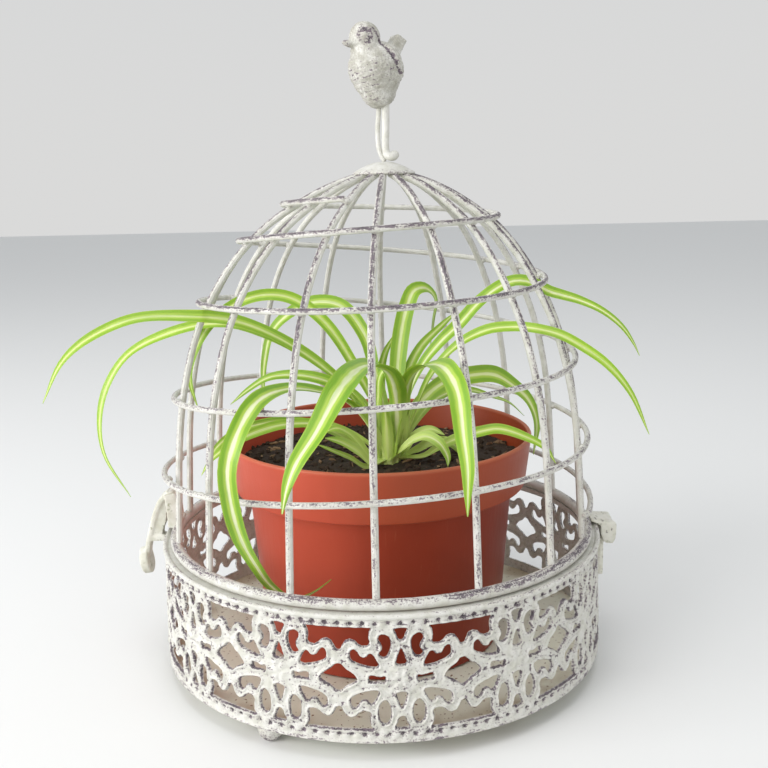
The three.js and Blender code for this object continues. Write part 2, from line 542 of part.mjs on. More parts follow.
function blade({ width, route }) {
  const steps = Math.max(6, Math.min(11, route.length));
  const points = route.map((point) => new THREE.Vector3(...point));
  const curve = new THREE.CatmullRomCurve3(points, false, 'centripetal');
  const heading = curve.getPointAt(0.6).sub(curve.getPointAt(0)).setZ(0).normalize();
  const level = new THREE.Vector3(-heading.y, heading.x, 0);
  const positions = [];
  for (let i = 0; i <= steps; i++) {
    const share = i / steps;
    const tangent = curve.getTangentAt(share);
    level.addScaledVector(tangent, -level.dot(tangent)).normalize();
    const roll = degrees(BLADE_ROLL) * heading.x * THREE.MathUtils.smoothstep(share, 0, 0.3);
    const side = level.clone().applyAxisAngle(tangent, roll);
    const up = new THREE.Vector3().crossVectors(tangent, side);
    const half = (width / 2) * leafTaper(share);
    const fold = half * THREE.MathUtils.lerp(0.55, 0.2, share);
    const section = [[half, fold], [0, 0], [-half, fold]];
    const rim = [...section.map(([s, u]) => [s, u + BLADE_THICK / 2]),
      ...section.reverse().map(([s, u]) => [s, u - BLADE_THICK / 2])];
    for (const [s, u] of rim) {
      const corner = curve.getPointAt(share).addScaledVector(side, s).addScaledVector(up, u);
      positions.push(...corner.toArray());
    }
  }
  const index = [];
  for (let i = 0; i < steps; i++) {
    for (let s = 0; s < 6; s++) {
      const a = 6 * i + s;
      const b = 6 * i + ((s + 1) % 6);
      if (s < 2) index.push(a, b, a + 6, b, b + 6, a + 6);
      else index.push(a, b + 6, a + 6, a, b, b + 6);
    }
  }
  const end = 6 * steps;
  for (const [b, c] of [[2, 3], [3, 4], [4, 5], [5, 0]]) {
    index.push(1, c, b, end + 1, end + b, end + c);
  }
  const geometry = new THREE.BufferGeometry();
  geometry.setAttribute('position', new THREE.Float32BufferAttribute(positions, 3));
  geometry.setIndex(index);
  return geometry;
}

const crown = turned([
  [0, SOIL.hole + GAP], [CROWN.radius * 0.8, SOIL.hole + GAP], [CROWN.radius, SOIL.hole + 4],
  [CROWN.radius, SOIL.middle], [CROWN.radius * 0.7, CROWN.top - 1.5], [0, CROWN.top],
], 14).translate(CROWN.x, CROWN.y, 0);
addPiece('spider_plant', fromSolid(join([crown, ...Object.values(LEAVES).map(blade)])), LEAF_GREEN);

export default object;
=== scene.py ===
# Potted spider plant standing in a domed wire bird-cage holder.
# Sizes are in millimetres in the object's own frame, and MM turns them into metres.

import math

import bpy
import numpy as np
from mathutils import Matrix, Vector, noise


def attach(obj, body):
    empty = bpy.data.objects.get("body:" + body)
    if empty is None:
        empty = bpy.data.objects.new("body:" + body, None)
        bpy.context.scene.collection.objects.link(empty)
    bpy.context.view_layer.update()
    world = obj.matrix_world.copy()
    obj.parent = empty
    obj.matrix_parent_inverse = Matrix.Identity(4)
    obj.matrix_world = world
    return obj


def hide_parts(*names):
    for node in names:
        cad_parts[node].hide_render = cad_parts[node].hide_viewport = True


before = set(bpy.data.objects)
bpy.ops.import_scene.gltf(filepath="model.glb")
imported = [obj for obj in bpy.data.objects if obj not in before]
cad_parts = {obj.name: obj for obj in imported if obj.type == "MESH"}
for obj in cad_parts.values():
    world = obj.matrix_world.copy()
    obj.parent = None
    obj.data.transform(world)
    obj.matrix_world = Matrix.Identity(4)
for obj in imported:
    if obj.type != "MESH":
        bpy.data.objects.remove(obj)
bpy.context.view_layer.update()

# Openwork band of the tray. The real one is thin steel sheet, stamped with a flower and scroll
# pattern with raised beads, bent round and brushed with cream paint that is rubbed back to metal.
# One unit is cut out of a fine grid along the holes' outlines and bent round the tray 13 times.
MM = 0.001
UNIT_COUNT = 13
UNIT_PHASE = -86.0
UNIT_HALF = math.pi * 91.8 / UNIT_COUNT
BAND_MIDDLE = 24.25
BAND_LOW, BAND_HIGH = 0.3, 46.5
BAND_R_LOW, BAND_R_HIGH = 93.0, 91.75
SHEET_THICK = 0.95
GRID_ACROSS, GRID_UP = 128, 132
DOT_PITCH = UNIT_HALF / 5
DOT_ROWS = (-20.9, 20.5)
WINDOW_TOP = 18.85

EAR_HOLE = [(6.2, 16.4), (4.2, 15.4), (3.6, 13), (4, 10.4), (5.1, 8.3), (6.6, 8), (7.7, 9.2), (6.6, 11.2),
            (7.1, 12.9), (7.9, 14.4), (7.5, 15.9)]
LOWER_EAR = [(6, -8.1), (4.4, -9.6), (3.9, -12.6), (4.4, -15.6), (6, -16.9), (7.7, -15.6), (8.2, -12.6),
             (7.6, -9.6)]
KEYSTONE = [(-2.1, 18.3), (2.1, 18.3), (1.6, 16.4), (0.8, 14.4), (-0.8, 14.4), (-1.6, 16.4)]
DROP = [(0, 11), (0.8, 9.6), (1.5, 7.4), (1.9, 5.8), (1, 5.1), (-1, 5.1), (-1.9, 5.8), (-1.5, 7.4),
        (-0.8, 9.6)]
SCROLL_HOLE = [(8, 5), (9, 7.4), (10.1, 9.1), (11.3, 9.2), (12.1, 8.2), (13.2, 7.9), (14.4, 8.4),
               (15.4, 9.9), (16.6, 10.9), (17.7, 10.1), (18, 8.3), (17.4, 6.8), (14.9, 5.5), (11.4, 4.5),
               (9, 4.3)]
SIDE_HOLE = [(5.7, 0.9), (7.6, 0.6), (9.6, 1.2), (11.2, 1.1), (11.2, -0.9), (9.6, -1.1), (7.4, -0.9),
             (5.9, -1.3)]
DIAMOND = [(15.5, 0.4), (17.2, 2), (19.4, 3.4), (20.9, 5), (UNIT_HALF, 5.5)]
WINDOW = [(10.3, WINDOW_TOP), (11.1, 17.4), (11.4, 15.3), (11, 13.1), (11.6, 12.2), (13.6, 12), (15, 12.7),
          (16.2, 14), (17.9, 14.6), (19.6, 13.9), (20.7, 12.2), (21.3, 10.8), (UNIT_HALF, 10.5)]


def smooth_loop(points, steps=6):
    """A closed curve through the points."""
    knots = np.array(points, float)
    before, after, beyond = (np.roll(knots, shift, axis=0) for shift in (1, -1, -2))
    bend = 2 * before - 5 * knots + 4 * after - beyond
    twist = 3 * knots - before - 3 * after + beyond
    shares = [step / steps for step in range(steps)]
    rows = [0.5 * (2 * knots + (after - before) * t + bend * t ** 2 + twist * t ** 3) for t in shares]
    return np.stack(rows, axis=1).reshape(-1, 2)


def mirrored(outline, about=0.0):
    """The outline and its mirror image left to right, as one loop."""
    outline = np.array(outline, float)
    image = outline[::-1] * (-1, 1) + (2 * about, 0)
    keep = np.abs(image[:, 0] - about) > 1e-6
    return np.concatenate([outline, image[keep]])


def unit_holes():
    """Every hole outline of one unit, in millimetres across and up from its flower."""
    flip_u, flip_v = np.array((-1.0, 1.0)), np.array((1.0, -1.0))
    ears = [smooth_loop(EAR_HOLE), smooth_loop(LOWER_EAR)]
    sides = [smooth_loop(SCROLL_HOLE), smooth_loop(SCROLL_HOLE) * flip_v, smooth_loop(SIDE_HOLE)]
    holes = [hole * flip for hole in ears + sides for flip in (1.0, flip_u)]
    for shape in (KEYSTONE, DROP):
        holes += [smooth_loop(shape), smooth_loop(shape) * flip_v]
    lower_tip = [(u, -v * 0.85) for u, v in DIAMOND][::-1]
    half_diamond = lower_tip + DIAMOND[1:]
    for about in (UNIT_HALF, -UNIT_HALF):
        side = 1.0 if about > 0 else flip_u
        diamond = mirrored(half_diamond, UNIT_HALF)
        holes.append(smooth_loop(diamond, 3) * side)
        window = mirrored(WINDOW, UNIT_HALF)
        holes += [window * side, window * flip_v * side]
    return holes


def depth_in_metal(points, holes):
    """Distance of each point from the nearest hole's outline, negative inside a hole."""
    best = np.full(len(points), 1e3)
    for hole in holes:
        start, end = hole, np.roll(hole, -1, axis=0)
        along = end - start
        offset = points[:, None, :] - start[None]
        share = (offset * along).sum(2) / np.maximum((along ** 2).sum(1), 1e-9)
        gap = offset - np.clip(share, 0, 1)[:, :, None] * along
        distance = np.sqrt((gap ** 2).sum(2)).min(1)
        x, y = points[:, 0, None], points[:, 1, None]
        spans = (start[:, 1] > y) != (end[:, 1] > y)
        rise = np.where(np.abs(along[:, 1]) < 1e-9, 1e-9, along[:, 1])
        crossing = start[:, 0] + (y - start[:, 1]) * along[:, 0] / rise
        inside = (spans & (x < crossing)).sum(1) % 2 == 1
        best = np.minimum(best, np.where(inside, -distance, distance))
    return best


def cut_grid(points, depth, across, up):
    """Faces of a grid cut off along depth 0, with the points that the cuts add."""
    points, depth = list(map(tuple, points)), list(depth)
    faces, cuts = [], {}

    def cut(a, b):
        key = (min(a, b), max(a, b))
        if key not in cuts:
            share = depth[a] / (depth[a] - depth[b])
            (ax, ay), (bx, by) = points[a], points[b]
            cuts[key] = len(points)
            points.append((ax + share * (bx - ax), ay + share * (by - ay)))
            depth.append(0.0)
        return cuts[key]

    for row in range(up):
        for column in range(across):
            a = row * (across + 1) + column
            corners = (a, a + 1, a + across + 2, a + across + 1)
            face = []
            for here, there in zip(corners, corners[1:] + corners[:1]):
                if depth[here] > 0:
                    face.append(here)
                if (depth[here] > 0) != (depth[there] > 0):
                    face.append(cut(here, there))
            if len(face) > 2:
                faces.append(face)
    used = sorted({index for face in faces for index in face})
    renumber = {index: place for place, index in enumerate(used)}
    faces = [[renumber[index] for index in face] for face in faces]
    return np.array(points)[used], np.array(depth)[used], faces


def backed(front, back, faces):
    """A closed shell: the faces on the front points, the same on the back points, and the sides."""
    count = len(front)
    edges = {(a, b) for face in faces for a, b in zip(face, face[1:] + face[:1])}
    sides = [(b, a, a + count, b + count) for a, b in edges if (b, a) not in edges]
    behind = [[index + count for index in reversed(face)] for face in faces]
    return np.concatenate([front, back]), [*faces, *behind, *sides]


def show(name, data):
    """A new object in the scene, with its mesh, light or camera data."""
    made = bpy.data.objects.new(name, data)
    bpy.context.scene.collection.objects.link(made)
    return made


def build_mesh(name, points, faces, sharp=35.0, **attributes):
    """An object from points in millimetres, with its numbers or vectors for each point."""
    mesh = bpy.data.meshes.new(name)
    mesh.from_pydata((np.asarray(points, float) * MM).tolist(), [], [list(map(int, face)) for face in faces])
    for label, values in attributes.items():
        values = np.asarray(values, np.float32)
        kind, field = ("FLOAT_VECTOR", "vector") if values.ndim == 2 else ("FLOAT", "value")
        mesh.attributes.new(label, kind, "POINT").data.foreach_set(field, values.ravel())
    mesh.shade_smooth()
    mesh.set_sharp_from_angle(angle=math.radians(sharp))
    mesh.validate()
    return show(name, mesh)


def fitted(piece, material, body):
    """Gives a piece its material and the rigid body that it rides on."""
    piece.data.materials.append(material)
    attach(piece, body)


def new_material(name):
    made = bpy.data.materials.new(name)
    made.use_nodes = True
    return made, made.node_tree, made.node_tree.nodes["Principled BSDF"]


def plug(tree, socket, value):
    """Links another node's output to the socket, or sets the socket to a plain value."""
    if isinstance(value, bpy.types.NodeSocket):
        tree.links.new(value, socket)
    else:
        socket.default_value = value


def put(tree, kind, sockets, **options):
    """Adds a shader node, sets its options, and fills its sockets by name or place."""
    made = tree.nodes.new("ShaderNode" + kind)
    for option, value in options.items():
        setattr(made, option, value)
    for socket, value in sockets.items():
        plug(tree, made.inputs[socket], value)
    return made


def attribute(tree, name, output="Fac"):
    """What a mesh says at each point under this name."""
    return put(tree, "Attribute", {}, attribute_name=name).outputs[output]


def maths(tree, operation, *values):
    return put(tree, "Math", dict(enumerate(values)), operation=operation).outputs[0]


def weighted(tree, *parts):
    """The sum of values, each given with its weight."""
    parts = [maths(tree, "MULTIPLY", value, weight) for value, weight in parts]
    total = parts[0]
    for part in parts[1:]:
        total = maths(tree, "ADD", total, part)
    return total


def fade(tree, value, low, high):
    """0 below low, 1 above high, smooth between."""
    sockets = {"Value": value, "From Min": low, "From Max": high}
    return put(tree, "MapRange", sockets, interpolation_type="SMOOTHSTEP").outputs[0]


def tint(tree, share, first, second, most=1.0):
    """First colour at share 0, and second, or at most that much of it, at share 1."""
    if most < 1:
        share = maths(tree, "MULTIPLY", share, most)
    sockets = {0: share}
    for place, colour in ((6, first), (7, second)):
        sockets[place] = colour if isinstance(colour, bpy.types.NodeSocket) else (*colour, 1)
    return put(tree, "Mix", sockets, data_type="RGBA").outputs[2]


def speckle(tree, vector, scale, detail=4.0, roughness=0.55):
    sockets = {"Vector": vector, "Scale": scale, "Detail": detail, "Roughness": roughness}
    return put(tree, "TexNoise", sockets).outputs["Fac"]


def stretch(tree, vector, amounts):
    return put(tree, "VectorMath", {0: vector, 1: amounts}, operation="MULTIPLY").outputs[0]


def dress(tree, shader, colour, roughness, relief, strength, depth):
    """Gives the shader its colour and roughness, and bumps of this depth in metres."""
    bump = put(tree, "Bump", {"Height": relief, "Strength": strength, "Distance": depth}).outputs[0]
    for name, value in (("Base Color", colour), ("Roughness", roughness), ("Normal", bump)):
        plug(tree, shader.inputs[name], value)


def cage_paint():
    """Cream paint brushed over dark metal. brush runs along the wire, rub says how worn it is; on the band
    rub also carries painted shade in the grooves between the beads and on the inner face.
    """
    made, tree, shader = new_material("cage_paint")
    brush = attribute(tree, "brush", "Vector")
    streaks = speckle(tree, stretch(tree, brush, (330, 1300, 1300)), 1, 5, 0.66)
    specks = speckle(tree, brush, 1500, 3, 0.6)
    patches = speckle(tree, brush, 70, 3, 0.55)
    mottle = speckle(tree, brush, 260, 4, 0.5)
    worn = weighted(tree, (streaks, 0.6), (specks, 0.7), (patches, 0.38), (attribute(tree, "rub"), 0.36))
    bare = fade(tree, worn, 1.07, 1.14)
    dusty = fade(tree, worn, 0.93, 1.12)
    settled = fade(tree, maths(tree, "ADD", specks, mottle), 0.6, 1.3)
    dirt = maths(tree, "MULTIPLY", attribute(tree, "grime"), settled)
    cream = tint(tree, fade(tree, mottle, 0.35, 0.7), (0.67, 0.662, 0.62), (0.57, 0.565, 0.5))
    cream = tint(tree, dirt, cream, (0.3, 0.285, 0.235))
    cream = tint(tree, dusty, cream, (0.415, 0.375, 0.36), 0.6)
    metal = tint(tree, fade(tree, specks, 0.42, 0.62), (0.022, 0.016, 0.024), (0.17, 0.13, 0.16))
    colour = tint(tree, bare, cream, metal, 0.94)
    grain = weighted(tree, (specks, 0.5), (bare, -0.3))
    dress(tree, shader, colour, maths(tree, "MULTIPLY_ADD", mottle, 0.25, 0.42), grain, 0.5, 0.00025)
    return made


def cage_piece(name, points, faces, brush, rub, body, *nodes, sharp=35.0, grime=0.0):
    """A painted piece of the holder, in place of the named plain solids."""
    piece = build_mesh(name, points, faces, sharp, brush=np.asarray(brush, float) * MM, rub=rub,
                       grime=np.full(len(points), grime))
    fitted(piece, CAGE_PAINT, body)
    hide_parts(*nodes)
    return piece


CAGE_PAINT = cage_paint()


def bump_at(distance, width):
    return np.exp(-(distance / width) ** 2)


def band_units():
    across = np.linspace(-UNIT_HALF, UNIT_HALF, GRID_ACROSS + 1)
    up = np.linspace(BAND_LOW - BAND_MIDDLE, BAND_HIGH - BAND_MIDDLE, GRID_UP + 1)
    grid = np.array([(u, v) for v in up for u in across])
    flat, depth, faces = cut_grid(grid, depth_in_metal(grid, unit_holes()), GRID_ACROSS, GRID_UP)
    u, v = flat.T
    from_flower = np.hypot(u, v)
    petals = np.cos(6 * np.arctan2(v, u)) * bump_at(from_flower - 3, 1.3)
    in_flower = bump_at(from_flower, 4.2)
    bead = bump_at(depth - 0.65, 0.42) * (np.abs(v) < WINDOW_TOP + 1.2)
    dots = np.zeros(len(flat))
    for row in DOT_ROWS:
        place = (u / DOT_PITCH) - np.round(u / DOT_PITCH)
        dots = np.maximum(dots, bump_at(np.hypot(place * DOT_PITCH, v - row), 0.8))
    swell = 0.5 - 0.5 * np.cos(2 * np.pi * u / DOT_PITCH)
    pillows = sum(bump_at(v - row, 1.5) for row in DOT_ROWS) * swell
    lip = bump_at(v - (BAND_LOW - BAND_MIDDLE), 0.8)
    relief = 0.55 * bead + 0.45 * pillows - 0.65 * dots + 0.35 * petals + 0.6 * in_flower + 0.4 * lip
    relief -= 0.45 * bump_at(from_flower, 1.1) + 0.35 * bump_at(depth, 0.2)
    # Painted shade: extra wear in the grooves between the beads darkens them, standing in for the shade that
    # lies in them.
    groove_shade = bump_at(depth - 1.55, 0.4) * (1 - in_flower)
    rub = 0.1 + 0.9 * dots + 0.8 * bump_at(depth - 0.1, 0.34) + 0.35 * groove_shade + 0.4 * petals.clip(0)
    rub += 0.35 * lip + 0.16 * (np.abs(v) > WINDOW_TOP)
    seeds = np.random.default_rng(4).random(UNIT_COUNT) * 400
    share = (v + BAND_MIDDLE - BAND_LOW) / (BAND_HIGH - BAND_LOW)
    radius = BAND_R_LOW + (BAND_R_HIGH - BAND_R_LOW) * share
    for unit in range(UNIT_COUNT):
        angle = math.radians(UNIT_PHASE) + (u / UNIT_HALF / 2 + unit) * 2 * math.pi / UNIT_COUNT
        dents = np.array([noise.noise((a, b, unit)) + 0.6 * noise.noise((2.4 * a, 2.4 * b, unit))
                          for a, b in flat * 0.55])
        dents = 0.3 * dents * (np.abs(v) < WINDOW_TOP)
        outside = radius - 0.5 + relief + dents
        inside = radius - SHEET_THICK - 0.35 + 0.5 * relief + dents
        shells = [np.stack([reach * np.cos(angle), reach * np.sin(angle), v + BAND_MIDDLE], axis=1)
                  for reach in (outside, inside)]
        points, shell_faces = backed(*shells, faces)
        brush = np.tile(np.stack([u + seeds[unit], v, relief], axis=1), (2, 1))
        # Painted shade: the inner face gets a wear value of 0.3, so the inside of the tray reads darker, as
        # the shade inside it would.
        worn = np.concatenate([rub + 0.5 * (dents < -0.12), np.full(len(rub), 0.3)])
        nodes = ["openwork_band"] if unit == 0 else []
        name = f"openwork_unit_{unit + 1:02d}"
        cage_piece(name, points, shell_faces, brush, worn, "base", *nodes, sharp=50)


band_units()

# Rolled top edge of the tray. The real one is the band's top turned in to a flat flange that the
# lid rests on, with a smooth round bead outside. Its section is turned round the tray.
FLANGE = {"inner": 86.0, "low": 45.4, "top": 47.35}
EDGE_BEAD = {"ring": 91.6, "z": 47.15, "radius": 1.0}


def turned(profile, segments=192, wobble=0.0):
    """Points and faces of a closed section [radius, height] turned about the Z axis."""
    profile = np.array(profile, float)
    count = len(profile)
    angles = np.linspace(0, 2 * np.pi, segments, endpoint=False)
    uneven = wobble * (np.sin(5 * angles + 1) + 0.6 * np.sin(11 * angles + 2) + 0.4 * np.sin(23 * angles))
    points = [(r * math.cos(a), r * math.sin(a), z + w) for a, w in zip(angles, uneven) for r, z in profile]
    faces = []
    for ring in range(segments):
        here, ahead = ring * count, (ring + 1) % segments * count
        for k in range(count):
            following = (k + 1) % count
            faces.append((here + k, ahead + k, ahead + following, here + following))
    return np.array(points), faces


def ring_brush(points):
    """Brush directions for a turned piece: along the ring from its back, then out and up."""
    angle = (np.arctan2(points[:, 1], points[:, 0]) - math.pi / 2) % (2 * math.pi)
    radius = np.hypot(points[:, 0], points[:, 1])
    return np.stack([radius.mean() * angle, radius, points[:, 2]], axis=1)


def arc(centre_r, centre_z, radius, start, stop, steps):
    """Points of an arc in a turned section, by angle in degrees above the outward direction."""
    angles = np.radians(np.linspace(start, stop, steps))
    return [(centre_r + radius * math.cos(a), centre_z + radius * math.sin(a)) for a in angles]


def rolled_edge():
    bead = arc(EDGE_BEAD["ring"], EDGE_BEAD["z"], EDGE_BEAD["radius"], -130, 150, 12)
    section = [(FLANGE["inner"], FLANGE["low"]), (90.2, FLANGE["low"]), *bead,
               (90.4, FLANGE["top"]), (FLANGE["inner"], FLANGE["top"])]
    points, faces = turned(section, wobble=0.03)
    rub = 0.15 + 0.3 * bump_at(points[:, 2] - 48.1, 0.5)
    cage_piece("tray_rolled_edge", points, faces, ring_brush(points), rub, "base", "rolled_top_edge")


rolled_edge()

# Floor plate of the tray. The real one is a flat steel disc under the same paint, dulled by water
# and specked with rust, with a golden stain where wet pots stood near its edge.
def floor_paint():
    made, tree, shader = new_material("floor_plate_paint")
    place = put(tree, "TexCoord", {}).outputs["Object"]
    flat = stretch(tree, place, (1, 1, 0))
    radius = put(tree, "VectorMath", {0: flat}, operation="LENGTH").outputs["Value"]
    mottle = speckle(tree, place, 45, 5, 0.6)
    specks = speckle(tree, place, 620, 2, 0.5)
    stain = fade(tree, speckle(tree, place, 28), 0.42, 0.62)
    stain = maths(tree, "MULTIPLY", fade(tree, radius, 0.074, 0.086), stain)
    colour = tint(tree, mottle, (0.79, 0.8, 0.63), (0.9, 0.92, 0.81))
    colour = tint(tree, stain, colour, (0.33, 0.21, 0.08), 0.65)
    colour = tint(tree, fade(tree, specks, 0.64, 0.72), colour, (0.2, 0.11, 0.05))
    dress(tree, shader, colour, maths(tree, "MULTIPLY_ADD", mottle, 0.3, 0.45), mottle, 0.3, 0.0006)
    return made


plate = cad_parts["floor_plate"].data
plate.materials.clear()
plate.materials.append(floor_paint())

# Ball feet of the tray. Each real one is a small cast ball brazed under the floor plate, with a
# flat worn on it where it stands. Each is turned, and painted with the cage.
FOOT = {"radius": 4.8, "ring": 86.5, "azimuth": -119.0, "bottom": -7.0}


def solid_turned(profile, segments, centre=(0.0, 0.0)):
    """Points and faces of an open section that starts and ends on the axis, turned about it."""
    profile = np.array(profile, float)
    inner = profile[1:-1]
    count = len(inner)
    angles = np.linspace(0, 2 * np.pi, segments, endpoint=False)
    points = [(r * math.cos(a), r * math.sin(a), z) for a in angles for r, z in inner]
    first, last = len(points), len(points) + 1
    points += [(0, 0, profile[0][1]), (0, 0, profile[-1][1])]
    faces = []
    for ring in range(segments):
        here, ahead = ring * count, (ring + 1) % segments * count
        faces += [(here + k, ahead + k, ahead + k + 1, here + k + 1) for k in range(count - 1)]
        faces += [(first, ahead, here), (last, here + count - 1, ahead + count - 1)]
    return np.array(points) + (*centre, 0), faces


def ball_feet():
    middle = FOOT["bottom"] + FOOT["radius"] * 0.92
    profile = [(0, FOOT["bottom"]), *arc(0, middle, FOOT["radius"], -66.5, 32, 14), (3.4, -0.3), (0, -0.3)]
    profile[1] = (profile[1][0], FOOT["bottom"])
    for place in range(3):
        azimuth = math.radians(FOOT["azimuth"] + 120 * place)
        centre = (FOOT["ring"] * math.cos(azimuth), FOOT["ring"] * math.sin(azimuth))
        points, faces = solid_turned(profile, 28, centre)
        rub = 0.25 + 0.35 * bump_at(points[:, 2] + 6, 2)
        cage_piece(f"tray_foot_{place + 1}", points, faces, points, rub, "base", f"ball_foot_{place + 1}")


ball_feet()

# Pot. The real one is a grower's pot moulded in terracotta coloured plastic with a soft sheen: a
# tapered body, a straight wide band at the top and a thin rounded lip. Its wall is turned.
POT = {"bottom": 50.4, "body": 55.8, "band_low": 61.5, "rim": 64.0, "wall": 1.6, "z": 1.5, "band_z": 69.3,
       "top": 90.0}


def pot_plastic():
    made, tree, shader = new_material("pot_plastic")
    place = put(tree, "TexCoord", {}).outputs["Object"]
    split = put(tree, "SeparateXYZ", {0: place}).outputs
    across, height = split["X"], split["Z"]
    clouds = speckle(tree, place, 22, 4, 0.55)
    scuffs = speckle(tree, stretch(tree, place, (900, 900, 60)), 1, 4, 0.6)
    colour = tint(tree, fade(tree, clouds, 0.3, 0.7), (0.235, 0.024, 0.006), (0.29, 0.033, 0.01))
    colour = tint(tree, fade(tree, scuffs, 0.6, 0.75), colour, (0.44, 0.12, 0.06), 0.25)
    colour = tint(tree, fade(tree, height, 0.0685, 0.0705), colour, (0.35, 0.062, 0.018), 0.7)
    # Painted sheen: the pot's left side, towards -X, is tinted paler pink, standing in for the sheen of the
    # light from the left.
    painted_sheen_side = maths(tree, "ADD", across, maths(tree, "MULTIPLY_ADD", clouds, 0.012, -0.006))
    colour = tint(tree, fade(tree, painted_sheen_side, 0.012, -0.03), colour, (0.55, 0.085, 0.045), 0.9)
    colour = tint(tree, fade(tree, height, 0.0884, 0.0898), colour, (0.52, 0.17, 0.085), 0.5)
    shader.inputs["Specular IOR Level"].default_value = 0.32
    dress(tree, shader, colour, maths(tree, "MULTIPLY_ADD", scuffs, 0.2, 0.3), scuffs, 0.12, 0.0003)
    return made


def pot():
    top, rim, wall, floor = POT["top"], POT["rim"], POT["wall"], POT["z"]
    bottom, body, step, low = POT["bottom"], POT["body"], POT["band_z"], POT["band_low"]
    outer = [(0, floor), (bottom - 1.4, floor), *arc(bottom - 1, floor + 1, 1, -80, 0, 5),
             (body - 0.05, step - 0.6), (body + 0.3, step - 0.1), (low - 0.9, step),
             *arc(low - 0.7, step + 0.7, 0.7, -70, 0, 4), (rim - 0.35, top - 3.4), (rim - 0.1, top - 2.4)]
    lip = arc(rim - 0.9, top - 0.9, 0.9, -10, 190, 9)
    inner = [(rim - wall - 0.4, top - 2.2), (low - wall, step + wall), (body - wall, step + wall - 0.4),
             (bottom - wall, floor + 2), (0, floor + 2)]
    points, faces = solid_turned([*outer, *lip, *inner], 160)
    piece = build_mesh("grower_pot", points, faces, 40)
    fitted(piece, pot_plastic(), "base")
    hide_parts("pot")


pot()

# Compost. The real one is dark, damp and crumbly, with bits of bark and pale fibre. Its surface is
# an uneven disc that fills the pot to a centimetre below the rim, with crumbs lying on it.
SOIL = {"edge_r": 61.0, "edge_z": 77.4, "middle_z": 79.2, "floor_z": 72.0, "rings": 46, "spokes": 150}
CRUMBS = {"count": 620, "seed": 11, "reach": 60.0, "bark_share": 0.2, "rough": 0.28}
CROWN = {"x": 4.0, "y": -13.0}


def compost_finish(name, dark, light):
    made, tree, shader = new_material(name)
    place = put(tree, "TexCoord", {}).outputs["Object"]
    lumps = speckle(tree, place, 190, 6, 0.7)
    fibre = speckle(tree, stretch(tree, place, (500, 1800, 500)), 1, 3, 0.6)
    colour = tint(tree, lumps, dark, light)
    colour = tint(tree, fade(tree, fibre, 0.66, 0.74), colour, (0.23, 0.14, 0.07))
    dress(tree, shader, colour, 0.92, lumps, 0.8, 0.0012)
    return made


def soil_height(x, y):
    """Height of the compost's surface: low at the wall, uneven, and heaped at the crown."""
    share = min(1.0, math.hypot(x, y) / SOIL["edge_r"])
    rise = SOIL["middle_z"] + (SOIL["edge_z"] - SOIL["middle_z"]) * share ** 2
    coarse = noise.fractal(Vector((x, y, 0)) * 0.09, 1.0, 2.0, 3)
    fine = noise.fractal(Vector((x, y, 9)) * 0.45, 0.8, 2.0, 4)
    heap = 1.2 * math.exp(-((x - CROWN["x"]) ** 2 + (y - CROWN["y"]) ** 2) / 150)
    return rise + heap + 0.75 * coarse + 0.75 * fine


def compost():
    points, faces = [], []
    spokes, rings = SOIL["spokes"], SOIL["rings"]
    for ring in range(rings):
        radius = SOIL["edge_r"] * ((ring + 1) / rings) ** 0.9
        for spoke in range(spokes):
            angle = 2 * math.pi * (spoke + 0.5 * (ring % 2)) / spokes
            x, y = radius * math.cos(angle), radius * math.sin(angle)
            points.append((x, y, soil_height(x, y)))
    for ring in range(rings - 1):
        for spoke in range(spokes):
            a, b = ring * spokes + spoke, ring * spokes + (spoke + 1) % spokes
            faces.append((a, a + spokes, b + spokes, b))
    rim = (rings - 1) * spokes
    low = len(points)
    points += [(x * 0.96, y * 0.96, SOIL["floor_z"]) for x, y, _ in points[rim:rim + spokes]]
    points += [(0, 0, soil_height(0, 0)), (0, 0, SOIL["floor_z"])]
    for spoke in range(spokes):
        ahead = (spoke + 1) % spokes
        faces.append((rim + spoke, low + spoke, low + ahead, rim + ahead))
        faces += [(len(points) - 2, spoke, ahead), (len(points) - 1, low + ahead, low + spoke)]
    piece = build_mesh("compost_surface", points, faces, 60)
    finish = compost_finish("compost", (0.012, 0.007, 0.004), (0.06, 0.036, 0.02))
    fitted(piece, finish, "base")
    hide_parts("compost")


def unit_ball(rows, columns):
    return solid_turned(arc(0, 0, 1, -90, 90, rows), columns)


def joined(parts):
    """One set of points and faces from several."""
    faces, start = [], 0
    for points, part_faces in parts:
        faces += [[index + start for index in face] for face in part_faces]
        start += len(points)
    return np.concatenate([points for points, _ in parts]), faces


def crumbs():
    """Small rough lumps: balls pushed in and out, long and pale where they are bark."""
    rng = np.random.default_rng(CRUMBS["seed"])
    ball, ball_faces = unit_ball(6, 8)
    lumps = {"compost_crumbs": [], "bark_bits": []}
    for _ in range(CRUMBS["count"]):
        angle, share = rng.random() * 2 * np.pi, math.sqrt(rng.random())
        x, y = CRUMBS["reach"] * share * math.cos(angle), CRUMBS["reach"] * share * math.sin(angle)
        pale = rng.random() < CRUMBS["bark_share"]
        size = rng.uniform(0.5, 1.6, 3) * ((1.9, 0.6, 0.5) if pale else (1, 1, 0.8))
        points = ball * (1 + CRUMBS["rough"] * rng.standard_normal(len(ball)))[:, None] * size
        turn = Matrix.Rotation(rng.random() * 6.3, 3, "Z") @ Matrix.Rotation(rng.normal() * 0.25, 3, "Y")
        points = points @ np.array(turn).T + (x, y, soil_height(x, y) + 0.25 * size[2])
        lumps["bark_bits" if pale else "compost_crumbs"].append((points, ball_faces))
    finishes = {"compost_crumbs": ((0.016, 0.009, 0.005), (0.085, 0.05, 0.028)),
                "bark_bits": ((0.16, 0.09, 0.045), (0.36, 0.24, 0.13))}
    for name, parts in lumps.items():
        piece = build_mesh(name, *joined(parts), 60)
        fitted(piece, compost_finish(name + "_finish", *finishes[name]), "base")


compost()
crumbs()

